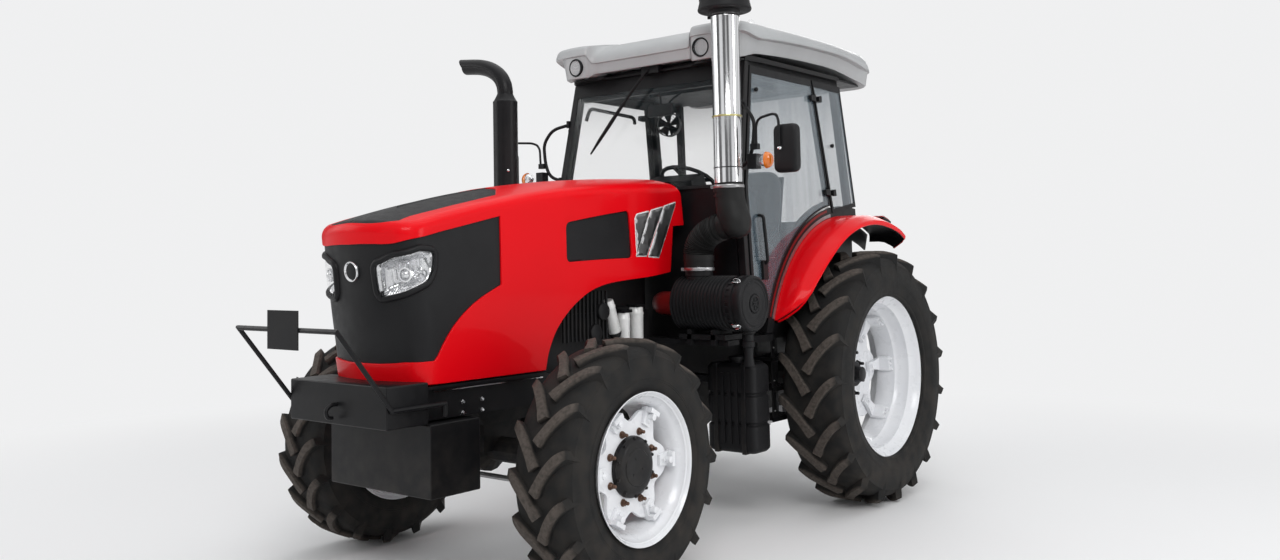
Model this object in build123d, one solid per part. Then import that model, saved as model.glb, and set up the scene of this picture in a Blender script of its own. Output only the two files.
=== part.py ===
from build123d import *
import math
import os

os.makedirs("parts", exist_ok=True)

# Four-wheel-drive farm tractor with a cab. Millimetres.
# X runs to the tractor's left, Y to its rear, Z up. While the pieces are made, Y counts from the rear
# axle and Z from the ground; the last lines move everything so that the middle of the length is Y = 0.

# Wheels
wheelbase = 2620
rear_tyre_radius = 835
rear_tyre_width = 432
rear_track_half = 958
rear_rim_radius = 530
rear_rim_half_width = 198
rear_lugs = 19
rear_sides = 38                 # the tyre and its rim are rings of this many flats
front_tyre_radius = 625
front_tyre_width = 366
front_track_half = 918
front_rim_radius = 358
front_rim_half_width = 182
front_lugs = 17
front_sides = 34
rim_wall = 14
lug_height_rear = 42
lug_height_front = 36
run_gap = 0.3                   # a shaft in its bore, and a soft piece beside its seat
body_gap = 6                    # between pieces that move past each other

# Axles and steering
rear_axle_z = rear_tyre_radius
front_axle_z = front_tyre_radius
front_axle_y = -wheelbase
kingpin_x = 640
kingpin_radius = 25
steer_arm = 180                 # kingpin to tie rod pin
tie_rod_z = 545
spindle_radius = 55
spindle_reach = 60              # past the middle of the tyre
stub_radius = 50
gearbox_front = -1440
driveshaft_z = 662

# Chassis
rail_x = 330                    # outer face of a side rail
rail_thickness = 28
rail_top = 1044
rail_bottom = 880
rail_front = -3373
rail_rear = -1700

# Front ballast, plate and guard
front_plate_half = 375
front_plate_y = rail_front - 251
front_plate_z = (870, 1072)
sheet = 12
weight_half = 386
weight_y = (rail_front + 1, rail_front + 324)
weight_z = (515, 854)
guard_tube = 12
guard_top_y = -3908
guard_top_z = 1340
guard_half = 387
guard_foot_y = (-3600, -3280)
guard_foot_z = 960
guard_sign = (240, 180)

# Hood
hood_half = 360
hood_wall = 14
hood_bottom = 1052
hood_rear = -1240
nose_bulge = 92                 # the middle of the nose stands this far ahead of its corners
nose_corner_y = -3372           # at the hood's lower edge
nose_lean = 0.134               # forward per unit of height
hood_top_line = [(-3800, 1770), (-3227, 1941), (-2700, 2030), (-2000, 2121), (-1100, 2160)]
hood_shoulder = 62              # the crown stands this far above the top corners
hood_corner_radius = 60
hinge_y = -1300
hinge_z = 2088
hinge_pin = 12

# Cab
cab_slope = 0.0515              # the sides lean in by this much per unit of height
cab_base_z = 1250
cab_base_half = 800
pillar_depth = 60
roof_bottom = 2880
roof_half = 826
roof_front = -1262
roof_back = 548
roof_lip = 3030                 # top of the roof's side edge
roof_crest = 3165
cab_front = -1190
screen_low = 2080               # foot of the windscreen
rear_window_low = 1900
a_line = [(cab_front, cab_base_z), (cab_front, screen_low + 10), (cab_front + 155, roof_bottom)]
b_line = [(-45, 1925), (-208, roof_bottom)]
c_line = [(317, 1880), (209, roof_bottom)]
arc_y = 130                     # centre of the rear fender's arc
arc_z = 800
arc_radius = 1120
door_gap = 10
door_thickness = 30
door_sill_radius = arc_radius + 75
floor_z = (1120, 1160)
inner_wall_x = rear_track_half - rear_tyre_width / 2 - 30
cab_rear_y = 317

# Steering wheel
steering_centre = (0, -673, 2175)
steering_tilt = 28              # its axle leans back by this angle
steering_rim = (190, 15)        # radius of the rim and of its grip
steering_shaft_radius = 12

# Fender
fender_outer = 1030
fender_sheet = 12
fender_flats = 60               # in a full turn

# Mirrors and turn lamps, left side
mirror_centre = (1138, -1290, 2272)
mirror_hoop = [(872, -1200, 2467), (858, -1200, 2321)]
turn_lamp = (966, -1250, 2215)
beacon_place = (560, -715)

# Exhaust and intake
exhaust_x = -475
exhaust_y = -1980
muffler_radius = 76
pipe_radius = 50
muffler_z = (2060, 2645)
exhaust_top = 2895
intake_y = -1377
intake_pipe_x = 790
intake_pipe_radius = 87
pre_cleaner_radius = 160
pre_cleaner_top = 3330
pre_cleaner_height = 220
intake_pipe_z = (2080, pre_cleaner_top - pre_cleaner_height)
cleaner_z = 1368
cleaner_x = (440, 955)
cleaner_radius = 166
elbow_x = 561

# Tank
tank_x = (440, 790)
tank_y = (-1160, -945)
tank_z = (440, 980)

# Rear linkage
hitch_pivot = (180, 520)        # lower link pin: Y, Z
hitch_half = 230
arm_pivot = (300, 1030)         # lift arm shaft: Y, Z
shaft_radius = 28
link_vector = (430, -30)        # from each pivot to the lift rod's pin
link_length = 860
link_eye_radius = 14.4
pin_radius = 14
top_link_foot = (260, 860)      # Y, Z
top_link_eye = (880, 1120)
top_link_bore = 12.7


# ---- helpers

def block(x, y, z):
    """Block between two limits on each axis."""
    size = (x[1] - x[0], y[1] - y[0], z[1] - z[0])
    return Pos((x[0] + x[1]) / 2, (y[0] + y[1]) / 2, (z[0] + z[1]) / 2) * Box(*size)


def rod(start, end, radius):
    """Round bar between two points."""
    along = Vector(*end) - Vector(*start)
    seat = Plane(origin=start, z_dir=along)
    return seat * Cylinder(radius, along.length, align=(Align.CENTER, Align.CENTER, Align.MIN))


def polygon(points):
    return make_face(Polyline(*points, close=True))


def side_prism(face, x):
    """Face drawn in Y and Z, made solid between two X limits."""
    return extrude(Plane(origin=(x[0], 0, 0), x_dir=(0, 1, 0), z_dir=(1, 0, 0)) * face, x[1] - x[0])


def front_prism(face, y):
    """Face drawn in X and Z, made solid between two Y limits."""
    return extrude(Plane(origin=(0, y[1], 0), x_dir=(1, 0, 0), z_dir=(0, -1, 0)) * face, y[1] - y[0])


def plan_prism(face, z):
    """Face drawn in X and Y, made solid between two heights."""
    return extrude(Pos(0, 0, z[0]) * face, z[1] - z[0])


def faceted_ring(profile, sides, phase=0):
    """Ring of flats about the X axis from a closed outline of (x, radius of the corners), anticlockwise."""
    angles = [math.radians(360 * n / sides + phase) for n in range(sides + 1)]
    spokes = [(math.cos(a), math.sin(a)) for a in angles]
    faces = []
    for (x0, r0), (x1, r1) in zip(profile, profile[1:] + profile[:1]):
        for (c0, s0), (c1, s1) in zip(spokes, spokes[1:]):
            corners = [(x0, r0 * c0, r0 * s0), (x1, r1 * c0, r1 * s0),
                       (x1, r1 * c1, r1 * s1), (x0, r0 * c1, r0 * s1)]
            kept = [c for n, c in enumerate(corners) if c not in corners[:n]]
            if len(kept) > 2:
                faces.append(Face(Wire.make_polygon(kept, close=True)))
    ring = Solid(Shell(faces))
    return ring if ring.volume > 0 else Solid(Shell([-f for f in faces]))


def prism_bar(start, end, radius, sides=12):
    """Bar of flats between two points."""
    along = Vector(*end) - Vector(*start)
    seat = Plane(origin=start, z_dir=along)
    return extrude(seat * RegularPolygon(radius, sides), along.length)


def other_side(shape):
    return mirror(shape, about=Plane.YZ)


def both_sides(shape):
    return [shape, other_side(shape)]


def group(shapes):
    """Several pieces as one node of separate solids."""
    return Compound([solid for shape in shapes for solid in shape.solids()])


def cab_x(z):
    """Outer face of the cab's side at a height."""
    return cab_base_half - cab_slope * (z - cab_base_z)


def on_line(line, z):
    """Y of a pillar's line at a height."""
    for (y0, z0), (y1, z1) in zip(line, line[1:]):
        if z <= z1:
            return y0 + (y1 - y0) * (z - z0) / (z1 - z0)
    return line[-1][0]


def leaning_panel(face, inset, thickness):
    """Panel in the cab's leaning left side: a side view face cut from a slab along that side."""
    low, high = 1000, 3000
    slab_outer = cab_x(low) - inset
    slab = front_prism(
        polygon([
            (slab_outer, low),
            (slab_outer - thickness, low),
            (cab_x(high) - inset - thickness, high),
            (cab_x(high) - inset, high),
        ]),
        (-1500, 600),
    )
    return slab & side_prism(face, (500, 1000))


# ---- wheels

def tyre(radius, width, rim_radius, lugs, lug_height, sides):
    """Carcass of straight flanks and a flat tread, with two rows of slanted lugs, centred on the origin."""
    tread = radius - lug_height
    half = width / 2
    flank = rim_radius + 0.52 * (tread - rim_radius)
    carcass = faceted_ring(
        [
            (-half * 0.86, rim_radius),
            (half * 0.86, rim_radius),
            (half, flank),
            (half * 0.80, tread),
            (-half * 0.80, tread),
            (-half, flank),
        ],
        sides,
    )
    reach = 0.184 * radius                  # half of the lug's length round the tyre
    bar = 0.088 * radius                    # its width round the tyre
    foot = rim_radius + 0.66 * (tread - rim_radius)
    top = math.sqrt(radius ** 2 - reach ** 2)
    outline = polygon([
        (-0.04 * width, -reach),
        (half * 0.95, reach - bar),
        (half * 0.95, reach),
        (-0.04 * width + 8, -reach + bar),
    ])
    lug = extrude(Pos(0, 0, foot) * outline, top - foot)
    pitch = 360 / lugs
    rows = []
    for n in range(lugs):
        rows.append(Rot(n * pitch, 0, 0) * lug)
        rows.append(Rot((n + 0.5) * pitch, 0, 0) * other_side(lug))
    return carcass.fuse(*rows)


def rim_barrel(radius, half_width, drop, sides):
    """Ring with flared lips that carries the tyre, and the radius inside its middle."""
    inner = radius - rim_wall
    seat = inner - drop
    flare = half_width - 60
    outline = [
        (-half_width, inner),
        (-flare, seat),
        (flare, seat),
        (half_width, inner),
        (half_width, radius),
        (-half_width, radius),
    ]
    return faceted_ring(outline, sides), seat


def disc_with_hole(x, radius, hole):
    ring = Circle(radius) - Circle(hole)
    return extrude(Plane(origin=(x[0], 0, 0), x_dir=(0, 1, 0), z_dir=(1, 0, 0)) * ring, x[1] - x[0])


def rear_rim():
    """Rim with eight welded brackets, and the scalloped disc that is bolted to them."""
    ring, seat = rim_barrel(rear_rim_radius, rear_rim_half_width, 50, rear_sides)
    disc_x = (-135, -115)
    lobe, waist = 330, 282
    outline = []
    for n in range(8):
        for step, radius in ((-11, lobe), (11, lobe), (22.5, waist)):
            angle = math.radians(45 * n + step)
            outline.append((radius * math.cos(angle), radius * math.sin(angle)))
    disc = side_prism(polygon(outline), disc_x)
    bracket = block((disc_x[1], disc_x[1] + 60), (-55, 55), (255, 325))
    bracket += block((disc_x[1], disc_x[1] + 22), (-55, 55), (255, seat + 2))
    hub = prism_bar((-246, 0, 0), (-60, 0, 0), 112, 16)
    arms = [Rot(n * 45 + 90, 0, 0) * bracket for n in range(8)]
    return ring.fuse(disc, hub, *arms) - rod((-300, 0, 0), (300, 0, 0), stub_radius + run_gap)


def front_rim():
    """Rim with its dished disc and the drum that closes the hub."""
    ring, seat = rim_barrel(front_rim_radius, front_rim_half_width, 42, front_sides)
    disc = prism_bar((62, 0, 0), (80, 0, 0), seat + 8, 17)
    window = prism_bar((0, 0, seat - 26), (200, 0, seat - 26), 34, 6)
    for n in range(6):
        disc -= Rot(n * 60, 0, 0) * window
    drum = faceted_ring([(40, 0), (40, 118), (-150, 118), (-150, 150), (123, 150), (123, 0)], 20)
    bore = rod((-200, 0, 0), (spindle_reach + 2, 0, 0), spindle_radius + run_gap)
    return ring.fuse(disc, drum) - bore


# ---- chassis

def frame_rails():
    """Two side rails, each with the seat for the hood along its top."""
    rail = block((rail_x - rail_thickness, rail_x), (rail_front, rail_rear), (rail_bottom, rail_top - 12))
    ledge = block((rail_x - rail_thickness, hood_half + 4), (rail_front, -2530), (rail_top - 12, rail_top))
    side = rail + ledge
    return group(both_sides(side))


def front_bolster():
    """Casting under the rails that carries the front axle's pivot."""
    body = block((-rail_x + rail_thickness, rail_x - rail_thickness), (-3030, -2402), (890, 1030))
    saddle = side_prism(
        polygon([(-2860, 890), (-2402, 890), (-2440, 780), (-2800, 780)]),
        (-150, 150),
    )
    return body + saddle


def front_axle_beam():
    """Driven axle: a housing with the differential, and a yoke over each knuckle."""
    beam = prism_bar((-520, front_axle_y, front_axle_z), (520, front_axle_y, front_axle_z), 68, 16)
    bowl = Pos(-40, front_axle_y, front_axle_z) * faceted_ring(
        [(-120, 40), (-60, 128), (60, 128), (120, 40)], 16)
    pivot = block((-110, 110), (-2760, -2480), (front_axle_z, 780))
    y, z = front_axle_y, front_axle_z
    yoke = block((500, 700), (y - 62, y + 62), (z - 118, z + 118))
    yoke -= block((560, 701), (front_axle_y - 63, front_axle_y + 63), (front_axle_z - 90, front_axle_z + 90))
    yoke -= rod((kingpin_x, front_axle_y, front_axle_z - 200), (kingpin_x, front_axle_y, front_axle_z + 200),
                kingpin_radius + run_gap)
    return beam + bowl + pivot + yoke + other_side(yoke)


def driveshaft():
    """Guarded shaft from the gearbox to the front axle."""
    return prism_bar((0, front_axle_y + 40, driveshaft_z), (0, gearbox_front, driveshaft_z), 34)


def knuckle():
    """Left knuckle: kingpins, the spindle for the wheel and the steering arm."""
    core = block((kingpin_x - 54, kingpin_x + 55), (front_axle_y - 50, front_axle_y + 50),
                 (front_axle_z - 84, front_axle_z + 84))
    pins = rod((kingpin_x, front_axle_y, front_axle_z - 116), (kingpin_x, front_axle_y, front_axle_z + 116),
               kingpin_radius)
    spindle = rod((kingpin_x, front_axle_y, front_axle_z),
                  (front_track_half + spindle_reach, front_axle_y, front_axle_z),
                  spindle_radius)
    arm = block((kingpin_x - 26, kingpin_x + 26), (front_axle_y - steer_arm - 26, front_axle_y - 40),
                (tie_rod_z, tie_rod_z + 26))
    post = rod((kingpin_x, front_axle_y - steer_arm, tie_rod_z - 46),
               (kingpin_x, front_axle_y - steer_arm, tie_rod_z),
               11)
    return core + pins + spindle + arm + post


def tie_rod():
    """Bar between the two steering arms, with an eye at each end."""
    y = front_axle_y - steer_arm
    z = tie_rod_z - 24
    bar = prism_bar((-kingpin_x + 20, y, z), (kingpin_x - 20, y, z), 15, 8)
    eye = prism_bar((kingpin_x, y, z - 18), (kingpin_x, y, z + 18), 24)
    bore = rod((kingpin_x, y, z - 40), (kingpin_x, y, z + 40), 11 + run_gap)
    return bar + eye + other_side(eye) - bore - other_side(bore)


def engine_block():
    """Engine as one plain mass: sump, crankcase, head and rocker cover."""
    layers = [
        ((-150, 150), (-2330, -1480), (700, 830)),
        ((-215, 215), (-2400, -1440), (830, 1330)),
        ((-190, 190), (-2380, -1460), (1330, 1560)),
        ((-130, 110), (-2340, -1500), (1560, 1690)),
    ]
    shape = block(*layers[0])
    for layer in layers[1:]:
        shape += block(*layer)
    return shape


def radiator():
    """Radiator core in its frame, with the fan's ribbed guard behind it."""
    core = block((-300, 300), (-2860, -2720), (1030, 1800))
    cowl = block((-270, 270), (-2720, -2640), (1110, 1740))
    guard = block((-270, 270), (-2480, -2466), (1110, 1128))
    guard += block((-270, 270), (-2480, -2466), (1722, 1740))
    for n in range(13):
        x = -264 + n * 44
        guard += block((x - 4, x + 4), (-2480, -2466), (1120, 1730))
    for x in (-262, 262):
        guard += block((x - 8, x + 8), (-2660, -2466), (1110, 1740))
    return core + cowl + guard


def transmission():
    """Clutch housing, gearbox, rear axle housing with its trumpets and stub shafts."""
    body = block((-200, 200), (gearbox_front, -950), (640, 1120))
    body += block((-170, 170), (-950, -250), (600, 1100))
    body += block((-215, 215), (-250, 230), (560, 1110))
    z = rear_axle_z
    left = prism_bar((200, 0, z), (560, 0, z), 118, 16) + prism_bar((560, 0, z), (706, 0, z), 150, 20)
    left += rod((700, 0, z), (rear_track_half - 40, 0, z), stub_radius)
    y1, z1 = arm_pivot
    ear = block((110, 150), (225, y1 + 42), (z1 - 42, z1 + 42))
    ear -= rod((0, y1, z1), (300, y1, z1), shaft_radius + run_gap)
    left += ear
    return body + left + other_side(left)


def front_plate():
    """Folded plate across the nose of the chassis, closed at its sides and top."""
    z0, z1 = front_plate_z
    face = block((-front_plate_half, front_plate_half), (front_plate_y, front_plate_y + sheet), (z0, z1))
    side = block((front_plate_half - sheet, front_plate_half), (front_plate_y, rail_front), (z0, z1))
    lid = block((-front_plate_half, front_plate_half), (front_plate_y, rail_front), (z0, z0 + sheet))
    half = front_plate_half
    bulkhead = block((-half, half), (rail_front - sheet, rail_front), (z0, rail_top - 14))
    return face + side + other_side(side) + lid + bulkhead


def weight_box():
    """Ballast case hung under the front of the rails."""
    case = block((-weight_half, weight_half), weight_y, weight_z)
    case = chamfer(case.edges().filter_by(Axis.Z), 14)
    depth = (weight_y[0] + 32, weight_y[1] - 30)
    hanger = block((rail_x - rail_thickness, rail_x), depth, (weight_z[1], rail_bottom))
    return case + hanger + other_side(hanger)


def guard_bar():
    """Bent tube ahead of the hood, with a blank sign plate on its top run."""
    x = guard_half
    y0, y1 = guard_foot_y
    left = [(x, y1, guard_foot_z - 60), (x, y1, guard_foot_z), (x, y0, guard_foot_z),
            (x, guard_top_y, guard_top_z)]
    right = [(-px, py, pz) for px, py, pz in reversed(left)]
    section = Plane(origin=left[0], z_dir=(0, 0, 1)) * RegularPolygon(guard_tube, 8)
    tube = sweep(section, path=Polyline(*left, *right), transition=Transition.RIGHT)
    w, h = guard_sign
    sign = block((-w / 2, w / 2), (guard_top_y - guard_tube - 4, guard_top_y - guard_tube + 2),
                 (guard_top_z - h / 2, guard_top_z + h / 2))
    return tube + sign


# ---- hood

def hood_section(half, crown):
    """Front view of the hood at one place: flat sides, cut corners and a low crown, to below its edge."""
    corner = crown - hood_shoulder
    side = [(half, 900), (half, corner - 60), (half - 16, corner - 22), (half - 60, corner + 6)]
    top = [(190, crown - 17), (0, crown)]
    right = [(-x, z) for x, z in reversed(side + top[:1])]
    return polygon(side + top + right)


def hood_solid(inset):
    """The hood's whole form, drawn in by the inset on every face but the bottom and the rear."""
    half = hood_half - inset
    sections = []
    for y, top in hood_top_line:
        face = hood_section(half, top - inset)
        sections.append(Plane(origin=(0, y, 0), x_dir=(1, 0, 0), z_dir=(0, -1, 0)) * face)
    body = loft(sections, ruled=True)
    nose_plan = [(-half, 900)]
    for n in range(-4, 5):
        x = half * n / 4
        nose_plan.append((x, nose_corner_y + inset - nose_bulge * (1 - (n / 4) ** 2)))
    nose_plan.append((half, 900))
    nose = polygon(nose_plan)
    lean = extrude(Pos(0, 0, hood_bottom) * nose, 1300, dir=(0, -nose_lean, 1))
    keep = block((-hood_half - 50, hood_half + 50), (-4200, hood_rear), (hood_bottom, 2400))
    return body & lean & keep


def arch_cut():
    """Side opening over the front wheel and the engine."""
    return side_prism(
        polygon([
            (-2525, 1000), (-2525, hood_bottom), (-2505, 1150), (-2440, 1262), (-2353, 1348), (-2250, 1418),
            (-2125, 1475), (-1390, 1556), (-1225, 1850), (-1000, 1850), (-1000, 1000),
        ]),
        (-500, 500),
    )


def grille_region():
    """Side view of the black nose and side panel."""
    return side_prism(
        polygon([
            (-3900, 1660), (-3527, 1736), (-3213, 1800), (-2856, 1868), (-2856, 1505),
            (-3085, 1399), (-3219, 1284), (-3312, 1165), (-3900, 1165),
        ]),
        (-500, 500),
    )


def lamp_region():
    """Front corner that a headlamp fills."""
    outline = polygon([(160, 1575), (160, 1650), (235, 1690), (420, 1706), (420, 1600), (330, 1556)])
    return front_prism(outline, (-3900, -3275))


def hood_pieces():
    outer = hood_solid(0)
    shell = outer - hood_solid(hood_wall) - arch_cut()
    shell -= block((-400, 400), (hood_rear - 1, hood_rear + 1), (900, 2300))
    nose_panel = shell & grille_region()
    red = shell - grille_region()
    top_edge = [(215, -3505), (268, -3300), (262, -2800), (120, -2640)]
    top_plan = polygon(top_edge + [(-x, y) for x, y in reversed(top_edge)])
    top_prism = plan_prism(top_plan, (1800, 2300))
    top_insert = red & top_prism
    red -= top_prism
    side_cut = side_prism(polygon([(-2351, 1853), (-1776, 1924), (-1785, 1645), (-2347, 1628)]), (200, 500))
    side_insert = shell & side_cut
    red = red - side_cut - other_side(side_cut)
    lamp_cut = lamp_region()
    lamp = (hood_solid(-6) - hood_solid(36)) & lamp_cut
    nose_panel = nose_panel - lamp_cut - other_side(lamp_cut)
    ear = block((80, 100), (hinge_y - 28, hinge_y + 28), (hinge_z - 28, 2150)) & outer
    ear -= rod((0, hinge_y, hinge_z), (200, hinge_y, hinge_z), hinge_pin + run_gap)
    red = red + ear + other_side(ear)
    black = group([nose_panel, top_insert, side_insert, other_side(side_insert)])
    return red, black, group(both_sides(lamp))


def hood_support():
    """Frame ahead of the cab's front wall that carries the hood's hinge pins."""
    post = block((-70, 70), (hinge_y - 20, hinge_y + 20), (floor_z[0], hinge_z + 20))
    pin = rod((-108, hinge_y, hinge_z), (108, hinge_y, hinge_z), hinge_pin)
    foot = block((-160, 160), (hinge_y - 60, hinge_y + 100), (floor_z[0], floor_z[0] + 24))
    return post + pin + foot


# ---- cab

def pillar(line, width, back):
    """Bar in the cab's leaning side that follows a pillar's line."""
    front_edge = [(y, z) for y, z in line]
    rear_edge = [(y + back, z) for y, z in reversed(line)]
    return leaning_panel(polygon(front_edge + rear_edge), 0, width)


def sill_disc(radius):
    """Round bar across the tractor about the fender's centre."""
    return rod((-1000, arc_y, arc_z), (1000, arc_y, arc_z), radius)


def cab_pillars():
    """Six posts: one pair at the front, at the door's hinge side and at the rear, with the door's pins."""
    foot = floor_z[1]
    a_low = [(a_line[0][0], foot)] + a_line[1:]
    front = pillar(a_low, 60, 44)
    hinge = pillar([(on_line(b_line, 1925) + 16, 1925), (b_line[-1][0] + 16, roof_bottom)], 50, 42)
    rear = pillar([(c_line[0][0] - 50, 1880), (c_line[-1][0] - 50, roof_bottom)], 50, 50)
    hinge -= sill_disc(door_sill_radius - body_gap)
    rear -= sill_disc(door_sill_radius - body_gap)
    for pin in door_pins():
        hinge += pin
    return group(both_sides(front) + both_sides(hinge) + both_sides(rear))


def cab_top_frame():
    """Ring of rails that ties the pillars together under the roof."""
    half = cab_x(roof_bottom) - 4
    ring = block((-half, half), (a_line[-1][0], c_line[-1][0]), (roof_bottom, roof_bottom + 40))
    opening = (a_line[-1][0] + 70, c_line[-1][0] - 70)
    return ring - block((-half + 70, half - 70), opening, (roof_bottom - 1, roof_bottom + 41))


def cab_floor():
    front = block((-inner_wall_x, inner_wall_x), (cab_front, cab_rear_y), floor_z)
    wide = block((-cab_base_half, cab_base_half), (cab_front, cab_front + 260), floor_z)
    return front + wide


def cab_walls():
    """Front and rear panels under the windows, and the inner walls beside the rear wheels."""
    low, high = floor_z[1], screen_low
    half_low, half_high = cab_x(low) - 60 - run_gap, cab_x(high) - 60 - run_gap
    front = front_prism(
        polygon([(-half_low, low), (half_low, low), (half_high, high), (-half_high, high)]),
        (cab_front, cab_front + 24),
    )
    half = inner_wall_x - run_gap
    rear = block((-half, half), (cab_rear_y - 24, cab_rear_y), (low, rear_window_low))
    disc = Pos(arc_y, arc_z) * Circle(arc_radius - fender_sheet - 4)
    top = screen_low + 20
    window = polygon([(-1300, floor_z[1]), (cab_rear_y, floor_z[1]), (cab_rear_y, top), (-1300, top)])
    side = side_prism(disc & window, (inner_wall_x, inner_wall_x + 12))
    side -= block((600, 900), (-1300, -1100), (1000, 2200))
    return group([front, rear] + both_sides(side))


def sill_band():
    """Curved sill between the fender and the door's lower edge."""
    ring = Pos(arc_y, arc_z) * (Circle(door_sill_radius - body_gap) - Circle(arc_radius + run_gap))
    keep = polygon([(-1100, 1170), (-1100, 1900), (-300, 2200), (317, 2200), (317, 1880), (-200, 1170)])
    return leaning_panel(ring & keep, 6, 60)


def door_outline(margin):
    """Side view of the door, drawn in by a margin."""
    m = margin
    top = roof_bottom - 26 - m
    y_top_front = on_line(a_line, top) + 52 + m
    y_top_rear = on_line(b_line, top) - door_gap - m
    r = door_sill_radius + m
    y_bf = a_line[0][0] + 44 + door_gap + m
    z_bf = cab_base_z + 10 + m
    y_arc = arc_y - math.sqrt(r ** 2 - (z_bf - arc_z) ** 2)
    z_rear = arc_z + math.sqrt(r ** 2 - (arc_y - (-70 - m)) ** 2)
    y_rear = on_line(b_line, z_rear) - door_gap - m
    z_rear = arc_z + math.sqrt(r ** 2 - (arc_y - y_rear) ** 2)
    mid_angle = (math.atan2(z_bf - arc_z, y_arc - arc_y) + math.atan2(z_rear - arc_z, y_rear - arc_y)) / 2
    mid = (arc_y + r * math.cos(mid_angle), arc_z + r * math.sin(mid_angle))
    belt = (a_line[1][0] + 44 + door_gap + m, a_line[1][1])
    return make_face(Wire([
        Line((y_bf, z_bf), (y_arc, z_bf)),
        ThreePointArc((y_arc, z_bf), mid, (y_rear, z_rear)),
        Line((y_rear, z_rear), (y_top_rear, top)),
        Line((y_top_rear, top), (y_top_front, top)),
        Line((y_top_front, top), belt),
        Line(belt, (y_bf, z_bf)),
    ]))


def door_axis():
    """Two points of the left door's hinge line."""
    points = []
    for z in (2070, 2700):
        points.append((cab_x(z) + 8, on_line(b_line, z) - 5, z))
    return points


def door_pieces():
    """Left door: a frame with its window cut, hinge knuckles, and the glass."""
    frame = leaning_panel(door_outline(0), 0, door_thickness) - leaning_panel(door_outline(38), -20, 100)
    glass = leaning_panel(door_outline(38 + run_gap), 10, 6)
    low, high = door_axis()
    along = (Vector(*high) - Vector(*low)).normalized()
    for point in (Vector(*low), Vector(*high)):
        barrel = prism_bar(tuple(point - along * 30), tuple(point + along * 30), 15, 8)
        leaf = Pos(point.X - 4, point.Y - 26, point.Z) * Box(12, 52, 50)
        frame += barrel + leaf
        frame -= rod(tuple(point - along * 60), tuple(point + along * 60), 8 + run_gap)
    return frame, glass


def door_pins():
    """Pins on the hinge pillar that the door turns on, each held above and below by a lug."""
    low, high = door_axis()
    along = (Vector(*high) - Vector(*low)).normalized()
    pieces = []
    for point in (Vector(*low), Vector(*high)):
        pin = prism_bar(tuple(point - along * 52), tuple(point + along * 52), 8)
        for side in (-1, 1):
            spot = point + along * (side * 44)
            pin += Pos(spot.X - 4, spot.Y + 24, spot.Z) * Box(26, 50, 12)
        pieces.append(pin)
    return pieces


def cab_glass():
    """Windscreen, rear window and the two rear quarter windows."""
    half_low = cab_x(screen_low) - 62
    half_high = cab_x(roof_bottom) - 62
    screen_face = polygon([
        (-half_low, screen_low), (half_low, screen_low), (half_high, roof_bottom), (-half_high, roof_bottom),
    ])
    y0, y1 = a_line[1][0], a_line[-1][0]
    screen_side = [(y0, screen_low), (y0 + 6, screen_low), (y1 + 6, roof_bottom), (y1, roof_bottom)]
    screen_slab = side_prism(polygon(screen_side), (-900, 900))
    screen = front_prism(screen_face, (-1500, 0)) & screen_slab
    y2, y3 = c_line[0][0] - 8, c_line[-1][0] - 8
    rear_side = [(y2, rear_window_low), (y2 + 6, rear_window_low), (y3 + 6, roof_bottom), (y3, roof_bottom)]
    rear_slab = side_prism(polygon(rear_side), (-900, 900))
    half_rear = cab_x(rear_window_low) - 72
    half_rear_top = cab_x(roof_bottom) - 72
    rear_face = polygon([
        (-half_rear, rear_window_low), (half_rear, rear_window_low),
        (half_rear_top, roof_bottom), (-half_rear_top, roof_bottom),
    ])
    rear = front_prism(rear_face, (-200, 800)) & rear_slab
    quarter = leaning_panel(
        polygon([
            (on_line(b_line, 1960) + 60, 1960), (on_line(b_line, roof_bottom) + 60, roof_bottom - 2),
            (c_line[-1][0] - 52, roof_bottom - 2), (on_line(c_line, 1960) - 52, 1960),
        ]),
        20, 6,
    )
    quarter -= sill_disc(door_sill_radius - body_gap)
    return group([screen, rear] + both_sides(quarter))


def roof():
    """Roof cap: an arched top over a fascia with cut corners, set back and lower in its front's middle."""
    half, front, back = roof_half, roof_front, roof_back
    low, lip, crest = roof_bottom + 40, roof_lip, roof_crest
    right = [(half - 206, front), (half - 104, front + 28), (half - 36, front + 120),
             (half - 16, front + 225), (half, front + 900), (half - 20, back - 110),
             (half - 60, back - 40), (half - 126, back)]
    left = [(-x, y) for x, y in reversed(right)]
    body = plan_prism(polygon(right + left), (low, crest))
    body = chamfer(body.faces().sort_by(Axis.Z)[0].edges(), 24)
    across = [(half, low), (half, lip), (half - 126, crest - 65), (half - 266, crest - 25), (0, crest)]
    across += [(-x, z) for x, z in reversed(across[:-1])]
    along = [(front, low), (front, crest - 90), (front + 112, crest - 60), (front + 462, crest - 15),
             (front + 962, crest), (back - 348, crest - 15), (back - 28, crest - 105),
             (back, crest - 190), (back, low)]
    body &= front_prism(polygon(across), (front, back))
    body &= side_prism(polygon(along), (-half, half))
    step = [(front, low), (front + 70, low), (front + 70, lip), (front + 462, crest - 15), (front, crest)]
    return body - side_prism(polygon(step), (-420, 420))


def steering_wheel():
    """Rim, two spokes and boss, flat about the origin with its axle along Z."""
    radius, grip = steering_rim
    corners = [math.radians(a) for a in range(45, 405, 72)]
    section = [(grip * math.cos(a), radius + grip * math.sin(a)) for a in corners]
    rim = Rot(0, 90, 0) * faceted_ring(section, 20)
    length = 2 * radius - grip
    spoke = Box(length, 34, 12) + Box(34, length, 12)
    boss = prism_bar((0, 0, -20), (0, 0, 20), 42)
    return rim + spoke + boss - Cylinder(steering_shaft_radius + run_gap, 100)


def steering_place():
    return Pos(*steering_centre) * Rot(-steering_tilt, 0, 0)


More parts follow.
